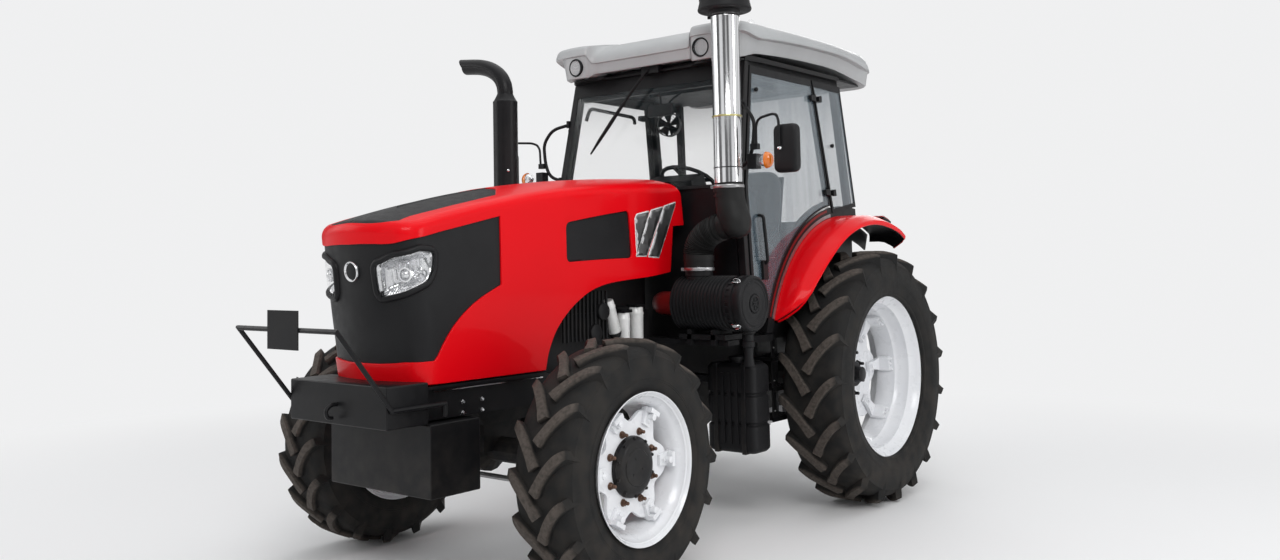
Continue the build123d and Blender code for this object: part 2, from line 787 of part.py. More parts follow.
def dashboard():
    """Column and instrument housing under the steering wheel."""
    column = prism_bar((0, 0, -570), (0, 0, -30), 46) + Pos(0, 0, -15) * Cylinder(steering_shaft_radius, 50)
    column = steering_place() * column
    outline = [(-1160, 1500), (-840, 1500), (-800, 1960), (-1000, screen_low), (-1160, screen_low)]
    pod = side_prism(polygon(outline), (-230, 230))
    base = block((-200, 200), (-1160, -900), (floor_z[1], 1500))
    return pod + base + column


def seat():
    """Sprung seat: base, cushion and backrest."""
    base = block((-170, 170), (-230, 120), (floor_z[1], 1620))
    cushion = block((-250, 250), (-330, 170), (1620, 1740))
    cushion = fillet(cushion.edges().filter_by(Axis.Z), 60)
    back = side_prism(polygon([(60, 1740), (170, 1740), (230, 2300), (150, 2300)]), (-235, 235))
    return base + cushion + back


# ---- fenders

def fender():
    """Left rear fender: a crowned arc over the tyre with a turned-down lip."""
    r = arc_radius
    inner = inner_wall_x
    outer, sheet = fender_outer, fender_sheet
    section = [
        (inner, r - sheet), (outer - 88, r - sheet), (outer - 28, r - 40), (outer - sheet, r - 62),
        (outer - sheet, r - 100), (outer, r - 100), (outer, r - 58), (outer - 16, r - 30),
        (outer - 84, r), (inner, r),
    ]
    ring = Pos(0, arc_y, arc_z) * faceted_ring(section, fender_flats)
    keep = side_prism(
        polygon([(arc_y - r - 110, 1262), (-900, 1262), (arc_y, 1400), (arc_y + 470, 1400),
                 (arc_y + 348, 1780), (arc_y + 390, arc_z + r + 180), (arc_y - r - 110, arc_z + r + 180)]),
        (600, 1300),
    )
    shape = ring & keep
    lip_cut = side_prism(Pos(arc_y - 20, arc_z) * Circle(r - 70), (inner + 60, 1300))
    shape = shape - (lip_cut & block((fender_outer - 40, 1300), (-1300, 900), (0, 2200)))
    corner = [(870, 1200), (900, 1300), (940, 1350), (975, 1420), (1005, 1530), (outer, 1660),
              (outer + 90, 1660), (outer + 90, 1200)]
    taper = front_prism(polygon(corner), (-1300, -200))
    return shape - taper


# ---- intake, exhaust and other fittings

def air_cleaners():
    """Ribbed main cleaner lying across the tractor, and the pre-cleaner bowl on the tall pipe."""
    x0, x1 = cleaner_x
    z = cleaner_z
    outline = [(x0, 0), (x1, 0), (x1, cleaner_radius - 14), (x1 - 16, cleaner_radius + 10),
               (x1 - 100, cleaner_radius + 10)]
    for n in range(3, -1, -1):
        x = x0 + 20 + n * 106
        outline += [(x + 66, cleaner_radius - 8), (x + 54, cleaner_radius), (x, cleaner_radius)]
    outline.append((x0, cleaner_radius - 8))
    can = Pos(0, intake_y, z) * faceted_ring(outline, 18)
    can += prism_bar((elbow_x, intake_y, z), (elbow_x, intake_y, 1540), 88, 16)
    can += prism_bar((x1 - 60, intake_y, z - 150), (x1 - 60, intake_y, z - 260), 34)
    saddle = block((x0 + 40, x0 + 90), (intake_y - 150, intake_y + 150), (floor_z[0], z - 100))
    saddle += block((160, x0 + 90), (intake_y - 60, intake_y + 60), (floor_z[0], floor_z[0] + 24))
    bowl_z = intake_pipe_z[1]
    outline = [
        (bowl_z, 0), (pre_cleaner_top, 0), (pre_cleaner_top, 120),
        (pre_cleaner_top - 40, pre_cleaner_radius),
        (bowl_z + 60, pre_cleaner_radius), (bowl_z + 50, 130), (bowl_z, 130),
    ]
    bowl = Pos(intake_pipe_x, intake_y, 0) * (Rot(0, -90, 0) * faceted_ring(outline, 18))
    return group([can + saddle, bowl])


def intake_elbow():
    """Rubber elbow in mitred lengths from the cleaner's inlet to the tall pipe."""
    y = intake_y
    x = intake_pipe_x
    points = [
        (elbow_x, y, 1540), (elbow_x, y, 1655), (elbow_x + 45, y, 1755), (elbow_x + 130, y, 1810),
        (x + 32, y, 1838), (x, y, 1990), (x, y, intake_pipe_z[0]),
    ]
    section = Plane(origin=points[0], z_dir=(0, 0, 1)) * RegularPolygon(93, 16)
    return sweep(section, path=Polyline(*points), transition=Transition.RIGHT)


def intake_pipe():
    x, y = intake_pipe_x, intake_y
    return prism_bar((x, y, intake_pipe_z[0]), (x, y, intake_pipe_z[1]), intake_pipe_radius, 20)


def exhaust_stack():
    """Pipe out from under the hood's edge, tall muffler and the bent outlet with its slanted end."""
    x, y = exhaust_x, exhaust_y
    low, high = muffler_z
    feed = prism_bar((-190, y, 1410), (x - 45, y, 1410), 45) + prism_bar((x, y, 1380), (x, y, low), 45)
    outline = [
        (low - 30, 0), (high + 40, 0), (high + 40, pipe_radius), (high, muffler_radius),
        (low, muffler_radius), (low - 30, 45),
    ]
    can = Pos(x, y, 0) * (Rot(0, -90, 0) * faceted_ring(outline, 20))
    top = exhaust_top
    path = Polyline(
        (x, y, high + 30), (x, y, top - 175), (x - 35, y, top - 105), (x - 90, y, top - 50),
        (x - 170, y, top - 16), (x - 430, y, top + 18),
    )
    section = Plane(origin=(x, y, high + 30), z_dir=(0, 0, 1)) * RegularPolygon(pipe_radius, 16)
    outlet = sweep(section, path=path, transition=Transition.RIGHT)
    mouth = [(x - 440, top - 120), (x - 440, top + 100), (x - 430, top + 100), (x - 270, top - 120)]
    slant = front_prism(polygon(mouth), (y - 60, y + 60))
    return feed + can + (outlet - slant)


def fuel_tank():
    """Moulded tank with upright ribs and a filler."""
    body = block(tank_x, tank_y, tank_z)
    body = chamfer(body.edges().filter_by(Axis.Z), 24)
    for n in range(3):
        x = tank_x[0] + 80 + n * 90
        body -= block((x - 16, x + 16), (tank_y[0] - 1, tank_y[0] + 12), (tank_z[0] - 1, tank_z[1] - 60))
    neck = prism_bar((650, -1050, tank_z[1]), (650, -1050, tank_z[1] + 45), 45)
    bracket = block((200, tank_x[0]), (-1120, -1000), (880, 940))
    return body + neck + bracket


def battery_box():
    """Case on the right side, opposite the tank."""
    body = block((-tank_x[1], -tank_x[0]), tank_y, (600, tank_z[1]))
    body = chamfer(body.edges().filter_by(Axis.Z), 18)
    lid_x, lid_y = (-tank_x[1] - 6, -tank_x[0] + 6), (tank_y[0] - 6, tank_y[1] + 6)
    lid = block(lid_x, lid_y, (tank_z[1], tank_z[1] + 20))
    bracket = block((-tank_x[0], -200), (-1120, -1000), (880, 940))
    return body + lid + bracket


def fuel_filters():
    """Three upright filter canisters on the engine's left side."""
    pieces = []
    for y in (-1560, -1660, -1780):
        can = prism_bar((258, y, 1150), (258, y, 1320), 43)
        can += prism_bar((258, y, 1320), (258, y, 1350), 30)
        pieces.append(can)
    return group(pieces)


def side_steps():
    """Step frame on each side, between the tank and the rear wheel."""
    hanger = side_prism(polygon([(-780, 950), (-560, 950), (-560, 990), (-780, 990)]), (690, 706))
    strut = side_prism(polygon([(-790, 985), (-745, 985), (-520, 600), (-560, 600)]), (690, 706))
    inner = block((690, 706), (-790, -740), (960, floor_z[0]))
    tread = block((560, 706), (-640, -500), (590, 604))
    brace = block((690, 706), (-560, -520), (600, floor_z[0]))
    return group(both_sides(hanger + strut + inner + tread + brace))


def on_pillar(z):
    """Point on the front pillar's face at a height."""
    return cab_x(z) - 8, on_line(a_line, z) + 20, z


def bent_bar(points, radius, sides):
    """Bar of flats along several points."""
    bar = prism_bar(points[0], points[1], radius, sides)
    for start, end in zip(points[1:], points[2:]):
        bar += prism_bar(start, end, radius, sides)
    return bar


def mirrors():
    """Mirror on a bent arm from a hoop on each front pillar."""
    x, y, z = mirror_centre
    hoop = bent_bar([on_pillar(2560), *mirror_hoop, on_pillar(2226)], 9, 6)
    bends = [(951, -1255, 2307), (956, -1262, 2451), (x - 53, y, 2478)]
    arm = bent_bar([mirror_hoop[1], *bends, (x - 20, y, z)], 9, 6)
    case = Pos(x, y, z) * Box(156, 60, 286)
    case = chamfer(case.edges().filter_by(Axis.Y), 28)
    left = hoop + arm + case
    for solid in cab_pillars().solids():
        left -= solid
    return group(both_sides(left))


def signal_lamps():
    """Turn lamps beside the front pillars, lamps at the fenders' rear ends, and the beacon on the roof."""
    turn = Pos(*turn_lamp) * Box(122, 60, 100)
    turn = chamfer(turn.edges().filter_by(Axis.Y), 14)
    turn += prism_bar(turn_lamp, on_pillar(turn_lamp[2] - 35), 8, 6)
    for solid in cab_pillars().solids():
        turn -= solid
    tail_angle = math.radians(75)
    tail_height = 43.4
    reach = arc_radius * math.cos(math.pi / fender_flats) + tail_height / 2
    y = arc_y + reach * math.cos(tail_angle)
    z = arc_z + reach * math.sin(tail_angle)
    tail = Pos(fender_outer - 135, y, z) * Rot(-15, 0, 0) * Box(120, 70, tail_height)
    x, y = beacon_place
    beacon = prism_bar((x, y, roof_lip), (x, y, roof_crest + 55), 50) - roof()
    return group(both_sides(turn) + both_sides(tail) + [beacon])


def work_lamps():
    """Round lamps under the front and rear brows of the roof."""
    x, z, depth = 515, 2960, 14
    front = prism_bar((x, roof_front - depth, z), (x, roof_front, z), 56, 16)
    rear = prism_bar((x, roof_back, z), (x, roof_back + depth, z), 56, 16)
    return group(both_sides(front) + both_sides(rear))


# ---- rear linkage

def lower_links():
    """Left and right draft links with a ball eye at the end, joined by a stretcher bar."""
    y0, z0 = hitch_pivot
    dy, dz = link_vector
    scale = link_length / math.hypot(dy, dz)
    y1, z1 = y0 + dy * scale, z0 + dz * scale
    x = (hitch_half + 20, hitch_half + 44)
    bar = side_prism(polygon([(y0, z0 - 30), (y0, z0 + 30), (y1, z1 + 24), (y1, z1 - 24)]), x)
    bar += prism_bar((x[0], y0, z0), (x[1], y0, z0), 36)
    bar += prism_bar((x[0] - 6, y1, z1), (x[1] + 6, y1, z1), 42)
    bar -= rod((x[0] - 60, y0, z0), (x[1] + 60, y0, z0), pin_radius + run_gap)
    bar -= rod((x[0] - 60, y1, z1), (x[1] + 60, y1, z1), link_eye_radius)
    bar += prism_bar((x[0], y0 + dy, z0 + dz), (x[1] + 42, y0 + dy, z0 + dz), 12)
    stretcher_y, stretcher_z = y0 + dy * 1.5, z0 + dz * 1.5
    stretcher = prism_bar((-x[0] - 2, stretcher_y, stretcher_z), (x[0] + 2, stretcher_y, stretcher_z), 14, 8)
    return bar + other_side(bar) + stretcher


def lift_arms():
    """Rockshaft with its two arms."""
    y0, z0 = arm_pivot
    dy, dz = link_vector
    shaft = rod((-hitch_half - 44, y0, z0), (hitch_half + 44, y0, z0), shaft_radius)
    x = (hitch_half + 20, hitch_half + 44)
    outline = [(y0, z0 - 40), (y0, z0 + 40), (y0 + dy, z0 + dz + 26), (y0 + dy, z0 + dz - 26)]
    arm = side_prism(polygon(outline), x)
    arm += prism_bar((x[0], y0, z0), (x[1], y0, z0), 48)
    arm += prism_bar((x[0], y0 + dy, z0 + dz), (x[1], y0 + dy, z0 + dz), 30)
    arm += rod((x[0], y0 + dy, z0 + dz), (x[1] + 40, y0 + dy, z0 + dz), pin_radius)
    return shaft + arm + other_side(arm)


def lift_rods():
    """Adjustable rod from the left lift arm down to the lower link, with an eye at each end."""
    dy, dz = link_vector
    y1, z1 = arm_pivot[0] + dy, arm_pivot[1] + dz
    y0, z0 = hitch_pivot[0] + dy, hitch_pivot[1] + dz
    x = (hitch_half + 50, hitch_half + 74)
    middle = (x[0] + x[1]) / 2
    along = Vector(0, y1 - y0, z1 - z0).normalized() * 22
    body = prism_bar((middle, y0 + along.Y, z0 + along.Z), (middle, y1 - along.Y, z1 - along.Z), 11, 8)
    body += prism_bar((x[0], y1, z1), (x[1], y1, z1), 30) + prism_bar((x[0], y0, z0), (x[1], y0, z0), 30)
    body -= rod((x[0] - 9, y1, z1), (x[1] + 9, y1, z1), pin_radius + run_gap)
    body -= rod((x[0] - 9, y0, z0), (x[1] + 9, y0, z0), 16)
    return body


def rear_brackets():
    """Top link with its bracket, link pins and drawbar, all on the rear axle housing."""
    y0, z0 = hitch_pivot
    pins = rod((-hitch_half - 52, y0, z0), (hitch_half + 52, y0, z0), pin_radius)
    cheek = block((-hitch_half, hitch_half), (y0 - 60, y0 + 30), (z0 - 40, 560))
    drawbar = block((-40, 40), (-200, 620), (400, 440)) - rod((0, 570, 300), (0, 570, 500), 16)
    hanger = block((-80, 80), (80, 200), (400, 490))
    return pins + cheek + drawbar + hanger


def top_link():
    """Upper link, pinned to the housing and raised to its stowed place."""
    y0, z0 = top_link_foot
    y1, z1 = top_link_eye
    bar = prism_bar((0, y0, z0), (0, y1, z1), 18)
    ears = block((-40, 40), (230, y0 + 30), (z0 - 40, z0 + 40))
    eye = prism_bar((-25, y1, z1), (25, y1, z1), 34)
    return ears + bar + eye - rod((-40, y1, z1), (40, y1, z1), top_link_bore)


def pto_shaft():
    """Splined stub shaft under its guard."""
    return rod((0, 230, 690), (0, 330, 690), 17.5)


# ---- everything, by node

nodes = {
    "frame_rails": frame_rails(),
    "front_bolster": front_bolster(),
    "front_axle_beam": front_axle_beam() + driveshaft(),
    "engine_block": engine_block(),
    "radiator": radiator(),
    "transmission": transmission(),
    "front_plate": front_plate(),
    "weight_box": weight_box(),
    "guard_bar": guard_bar(),
    "hood_support": hood_support(),
    "cab_floor": cab_floor(),
    "cab_walls": cab_walls(),
    "cab_pillars": cab_pillars(),
    "cab_top_frame": cab_top_frame(),
    "door_sills": group(both_sides(sill_band())),
    "cab_glass": cab_glass(),
    "roof": roof(),
    "dashboard": dashboard(),
    "seat": seat(),
    "fenders": group(both_sides(fender())),
    "air_cleaners": air_cleaners(),
    "intake_elbow": intake_elbow(),
    "intake_pipe": intake_pipe(),
    "exhaust_stack": exhaust_stack(),
    "fuel_tank": fuel_tank(),
    "battery_box": battery_box(),
    "fuel_filters": fuel_filters(),
    "side_steps": side_steps(),
    "mirrors": mirrors(),
    "signal_lamps": signal_lamps(),
    "work_lamps": work_lamps(),
    "rear_brackets": rear_brackets(),
    "top_link": top_link(),
    "pto_shaft": pto_shaft(),
    "lift_arms": lift_arms(),
    "lift_rods": group(both_sides(lift_rods())),
    "lower_links": lower_links(),
    "steering_wheel": steering_place() * steering_wheel(),
    "knuckle_left": knuckle(),
    "knuckle_right": other_side(knuckle()),
    "tie_rod": tie_rod(),
}
nodes["hood_shell"], nodes["grille_panels"], nodes["headlamps"] = hood_pieces()
door, door_glass = door_pieces()
nodes["door_left"], nodes["door_right"] = both_sides(door)
nodes["door_left_glass"], nodes["door_right_glass"] = both_sides(door_glass)
wheels = {
    "front": (front_track_half, front_axle_y, front_axle_z, front_rim(),
              tyre(front_tyre_radius, front_tyre_width, front_rim_radius, front_lugs, lug_height_front,
                   front_sides)),
    "rear": (rear_track_half, 0, rear_axle_z, rear_rim(),
             tyre(rear_tyre_radius, rear_tyre_width, rear_rim_radius, rear_lugs, lug_height_rear,
                  rear_sides)),
}
for end, (x, y, z, rim, rubber) in wheels.items():
    for piece, shape in (("rim", rim), ("tyre", rubber)):
        left = Pos(x, y, z) * shape
        nodes[f"{end}_{piece}_left"] = left
        nodes[f"{end}_{piece}_right"] = other_side(left)

front_reach = -(guard_top_y - guard_tube - 4)
rear_reach = hitch_pivot[0] + link_vector[0] * link_length / math.hypot(*link_vector) + 40
rear_axle_y = (front_reach - rear_reach) / 2
for name, shape in nodes.items():
    moved = [Pos(0, rear_axle_y, 0) * solid for solid in shape.solids()]
    export_step(moved[0] if len(moved) == 1 else Compound(moved), "parts/" + name + ".step")
print("rear axle at Y", round(rear_axle_y, 3), "nodes", len(nodes))
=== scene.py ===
import math

import bmesh
import bpy
import numpy as np
from mathutils import Matrix, Vector, geometry


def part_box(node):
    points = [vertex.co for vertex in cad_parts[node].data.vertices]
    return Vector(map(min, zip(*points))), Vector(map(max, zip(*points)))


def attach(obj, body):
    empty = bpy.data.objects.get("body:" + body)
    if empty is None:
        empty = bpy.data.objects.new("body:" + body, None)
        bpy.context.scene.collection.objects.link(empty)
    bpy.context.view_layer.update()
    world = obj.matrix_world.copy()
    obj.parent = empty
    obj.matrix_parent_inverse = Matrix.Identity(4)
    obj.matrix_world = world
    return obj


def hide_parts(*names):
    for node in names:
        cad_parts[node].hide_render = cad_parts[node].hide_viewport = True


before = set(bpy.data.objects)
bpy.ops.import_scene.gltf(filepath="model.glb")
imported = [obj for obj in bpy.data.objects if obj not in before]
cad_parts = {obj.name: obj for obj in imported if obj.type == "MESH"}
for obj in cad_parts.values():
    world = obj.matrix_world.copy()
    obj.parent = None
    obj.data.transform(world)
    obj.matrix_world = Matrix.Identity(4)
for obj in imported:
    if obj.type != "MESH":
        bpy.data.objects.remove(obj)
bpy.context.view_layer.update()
print("frame loaded")


# Shapes below are in metres with Y counted from the rear axle and Z from the ground; placing a piece adds
# the axle's own place.
tyreLow, tyreHigh = (np.array(corner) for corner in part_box("rear_tyre_left"))
rearAxle = np.array([0.0, (tyreLow[1] + tyreHigh[1]) / 2, 0.0])


def nodeBox(node):  # lowest and highest corner of a node, Y from the rear axle
    low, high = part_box(node)
    return np.array(low) - rearAxle, np.array(high) - rearAxle


def middle(node):
    low, high = nodeBox(node)
    return (low + high) / 2


# Mesh tools: a part is (points, [face arrays]); the faces of one array have the same number of corners

def joinParts(parts):  # one part from several, face numbers shifted by the points before them
    points, faces, start = [], [], 0
    for partPoints, partFaces in parts:
        points.append(np.asarray(partPoints, float).reshape(-1, 3))
        faces.extend(np.asarray(f) + start for f in partFaces)
        start += len(points[-1])
    return np.concatenate(points), faces


def moved(part, offset):  # every point plus the offset
    return part[0] + np.asarray(offset, float), part[1]


def turned(part, axis, degrees, about=(0, 0, 0)):  # points turned about an axis through a place
    turn = np.array(Matrix.Rotation(math.radians(degrees), 3, axis))
    about = np.asarray(about, float)
    return (part[0] - about) @ turn.T + about, part[1]


def mirrored(part):  # X changes sign and the faces are read backwards
    return part[0] * np.array([-1.0, 1.0, 1.0]), [f[:, ::-1] for f in part[1]]


def bothSides(part):  # a part, or a list of them, and its mirror image
    part = joinParts(part) if isinstance(part, list) else part
    return joinParts([part, mirrored(part)])


def gridPart(points, closeRows=False, closeColumns=False, capRows=False):
    # points is rows x columns x 3; each cell between neighbouring rows and columns is one face
    rows, columns = points.shape[:2]
    index = np.arange(rows * columns).reshape(rows, columns)
    if closeRows:
        index = np.concatenate([index, index[:1]], axis=0)
    if closeColumns:
        index = np.concatenate([index, index[:, :1]], axis=1)
    quads = np.stack([index[:-1, :-1], index[1:, :-1], index[1:, 1:], index[:-1, 1:]], axis=-1)
    quads = quads.reshape(-1, 4)
    faces = [quads]
    if capRows:
        faces.append(index[:1, :columns])
        faces.append(index[-2 if closeRows else -1, :columns][None, ::-1])
    return points.reshape(-1, 3), faces


def lathe(profile, sides=96, closed=True, axis="X", at=(0, 0, 0)):
    # each profile point (along the axis, radius) goes round the axis: x, r cos a, r sin a
    profile = np.asarray(profile, float)
    angle = np.linspace(0, 2 * math.pi, sides, endpoint=False)
    x = np.broadcast_to(profile[:, 0], (sides, len(profile)))
    points = np.stack([x, np.outer(np.cos(angle), profile[:, 1]), np.outer(np.sin(angle), profile[:, 1])],
                      axis=-1)
    if closed:
        part = gridPart(points, closeRows=True, closeColumns=True)
    else:
        index = np.arange(sides * len(profile)).reshape(sides, -1)
        part = gridPart(points, closeRows=True)
        part[1].extend([index[:, 0][None, :], index[::-1, -1][None, :]])  # flat ends
    order = {"X": [0, 1, 2], "Y": [2, 0, 1], "Z": [1, 2, 0]}[axis]
    return part[0][:, order] + np.asarray(at, float), part[1]


def smoothPath(points, count):  # Catmull-Rom curve through given points, count samples
    p = np.asarray(points, float)
    p = np.concatenate([[2 * p[0] - p[1]], p, [2 * p[-1] - p[-2]]])
    t = np.linspace(0, len(p) - 3 - 1e-9, count)
    n = t.astype(int)
    f = (t - n)[:, None]
    a, b, c, d = p[n], p[n + 1], p[n + 2], p[n + 3]
    return 0.5 * (2 * b + (c - a) * f + (2 * a - 5 * b + 4 * c - d) * f ** 2 + (3 * b - a - 3 * c + d) *
                  f ** 3)


def pathFrames(path):  # tangent, side and up at each path point, carried along without twist
    tangent = np.gradient(path, axis=0)
    tangent /= np.linalg.norm(tangent, axis=1)[:, None]
    side = np.zeros_like(path)
    guess = np.eye(3)[np.argmin(np.abs(tangent[0]))]
    for n, t in enumerate(tangent):  # one step per path point
        guess = guess - t * (guess @ t)
        guess /= np.linalg.norm(guess)
        side[n] = guess
    return tangent, side, np.cross(tangent, side)


def tube(path, radius, sides=12):  # a ring of points round each path point, ends capped
    path = np.asarray(path, float)
    side, up = pathFrames(path)[1:]
    angle = np.linspace(0, 2 * math.pi, sides, endpoint=False)
    radius = np.broadcast_to(np.asarray(radius, float), (len(path),))[:, None, None]
    ring = side[:, None] * np.cos(angle)[None, :, None] + up[:, None] * np.sin(angle)[None, :, None]
    return gridPart(path[:, None] + radius * ring, closeColumns=True, capRows=True)


def bendPath(corners, radius, steps=6):  # straight runs with each corner rounded by a quadratic curve
    corners = np.asarray(corners, float)
    out = [corners[:1]]
    t = np.linspace(0, 1, steps)[:, None]
    for a, b, c in zip(corners, corners[1:], corners[2:]):
        p = b + (a - b) * min(1, radius / np.linalg.norm(a - b))
        q = b + (c - b) * min(1, radius / np.linalg.norm(c - b))
        out.append((1 - t) ** 2 * p + 2 * t * (1 - t) * b + t ** 2 * q)
    out.append(corners[-1:])
    return np.concatenate(out)


def prism(outline, low, high, axis="X"):  # a flat outline drawn across the axis, from low to high on it
    outline = np.asarray(outline, float)
    count = len(outline)
    spot = {"X": 0, "Y": 1, "Z": 2}[axis]
    rest = [n for n in range(3) if n != spot]
    points = np.zeros((2, count, 3))
    points[:, :, rest[0]] = outline[:, 0]
    points[:, :, rest[1]] = outline[:, 1]
    points[0, :, spot] = low
    points[1, :, spot] = high
    return gridPart(points, closeColumns=True, capRows=True)


def box(low, high):
    (x0, y0, z0), (x1, y1, z1) = low, high
    return prism([(y0, z0), (y1, z0), (y1, z1), (y0, z1)], x0, x1)


def bolt(size, height, at, axis="X", sides=6):  # hexagon head with a turned-down rim on a round washer
    r = size / 2
    head = lathe([(0.25 * height, r), (0.85 * height, r), (height, r * 0.82)], sides, closed=False,
                 axis=axis, at=at)
    washer = lathe([(0, r * 1.25), (0.22 * height, r * 1.25), (0.28 * height, r * 1.1)], 16, closed=False,
                   axis=axis, at=at)
    return joinParts([head, washer])


def repeatRound(part, count, phase=0):  # copies evenly round the X axis
    return joinParts([turned(part, "X", phase + n * 360 / count) for n in range(count)])


def makePiece(name, part, finishName, replaced=(), slot=None, body="chassis", smooth=38, bevel=0,
              merge=False):
    # part is one part or a list of them; slot is not used
    points, faces = joinParts(part) if isinstance(part, list) else part
    points = np.asarray(points, float) + rearAxle
    faces = [np.asarray(f, int) for f in faces if len(f)]
    counts = np.concatenate([np.full(len(f), f.shape[1]) for f in faces])
    mesh = bpy.data.meshes.new(name)
    mesh.vertices.add(len(points))
    mesh.vertices.foreach_set("co", points.ravel())
    mesh.loops.add(int(counts.sum()))
    mesh.loops.foreach_set("vertex_index", np.concatenate([f.ravel() for f in faces]))
    mesh.polygons.add(len(counts))
    mesh.polygons.foreach_set("loop_start", np.concatenate([[0], np.cumsum(counts)[:-1]]))
    mesh.update(calc_edges=True)
    mesh.validate()
    work = bmesh.new()
    work.from_mesh(mesh)
    if merge:
        bmesh.ops.remove_doubles(work, verts=work.verts, dist=0.0002)
    bmesh.ops.recalc_face_normals(work, faces=work.faces)
    work.to_mesh(mesh)
    work.free()
    mesh.shade_smooth()
    mesh.set_sharp_from_angle(angle=math.radians(smooth))
    piece = bpy.data.objects.new(name, mesh)
    bpy.context.scene.collection.objects.link(piece)
    mesh.materials.append(materials[finishName])
    if bevel:
        edge = piece.modifiers.new("edge", "BEVEL")
        edge.width = bevel
        edge.segments = 2
        edge.limit_method = "ANGLE"
        edge.angle_limit = math.radians(35)
        edge.harden_normals = True
    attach(piece, body)
    if replaced:
        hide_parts(*replaced)
    return piece


# Materials: every finish is one function of a few values

def graphOf(owner):  # an owner's node tree, and a way to add a node with its settings and inputs in one line
    owner.use_nodes = True
    tree = owner.node_tree

    def add(kind, inputs=None, **settings):  # an input is a number, a colour or another node's output
        node = tree.nodes.new("ShaderNode" + kind)
        for key, value in settings.items():
            setattr(node, key, value)
        for socket, value in (inputs or {}).items():
            if isinstance(value, bpy.types.NodeSocket):
                tree.links.new(value, node.inputs[socket])
            else:
                node.inputs[socket].default_value = value
        return node

    return tree, add


def span(add, value, low, high, outLow, outHigh, **settings):  # low to high becomes outLow to outHigh
    inputs = {"From Min": low, "From Max": high, "To Min": outLow, "To Max": outHigh, "Value": value}
    return add("MapRange", inputs, **settings).outputs["Result"]


def maths(add, operation, first, second):
    return add("Math", {0: first, 1: second}, operation=operation).outputs[0]


def noise(add, vector, size, detail):
    return add("TexNoise", {"Scale": size, "Detail": detail, "Vector": vector}).outputs["Fac"]


def mixColour(add, factor, first, second):  # the sixth and seventh inputs are the two colours
    return add("Mix", {0: factor, 6: first, 7: second}, data_type="RGBA").outputs[2]


def finish(name, base, dark, rough, metal=0.0, coat=0.0, coatRough=0.06, blotch=3.0, blotchShare=0.5,
           grain=220.0, grainDepth=0.02, roughSpread=0.12, dust=0.0, dustHeight=0.9,
           dustColour=(0.30, 0.26, 0.21), stretch=(1, 1, 1), sheen=0.0, specular=0.5):
    # colour = base mixed to dark by soft noise, then to dust near the ground; bump = fine noise
    material = bpy.data.materials.new(name)
    tree, add = graphOf(material)
    shader = tree.nodes["Principled BSDF"]
    values = {"Metallic": metal, "Coat Weight": coat, "Coat Roughness": coatRough, "Sheen Weight": sheen,
              "Specular IOR Level": specular}
    for socket, value in values.items():
        shader.inputs[socket].default_value = value
    place = add("TexCoord").outputs["Object"]
    pattern = add("Mapping", {"Scale": stretch, "Vector": place}).outputs["Vector"]
    patches = span(add, noise(add, pattern, blotch, 5), 0.42, 0.66, 0, blotchShare)
    colour = mixColour(add, patches, (*base, 1), (*dark, 1))
    if dust:
        height = add("SeparateXYZ", {"Vector": place}).outputs["Z"]
        specks = span(add, noise(add, pattern, 14, 6), 0.38, 0.72, 0, dust)
        amount = maths(add, "MULTIPLY", span(add, height, 0.0, dustHeight, 1, 0), specks)
        colour = mixColour(add, amount, colour, (*dustColour, 1))
    tree.links.new(colour, shader.inputs["Base Color"])
    polish = span(add, noise(add, pattern, blotch * 4, 6), 0.3, 0.7, max(0.02, rough - roughSpread / 2),
                  rough + roughSpread / 2)
    tree.links.new(polish, shader.inputs["Roughness"])
    if grainDepth:
        bump = add("Bump", {"Strength": grainDepth, "Distance": 0.004,
                            "Height": noise(add, pattern, grain, 3)})
        tree.links.new(bump.outputs["Normal"], shader.inputs["Normal"])
    return material


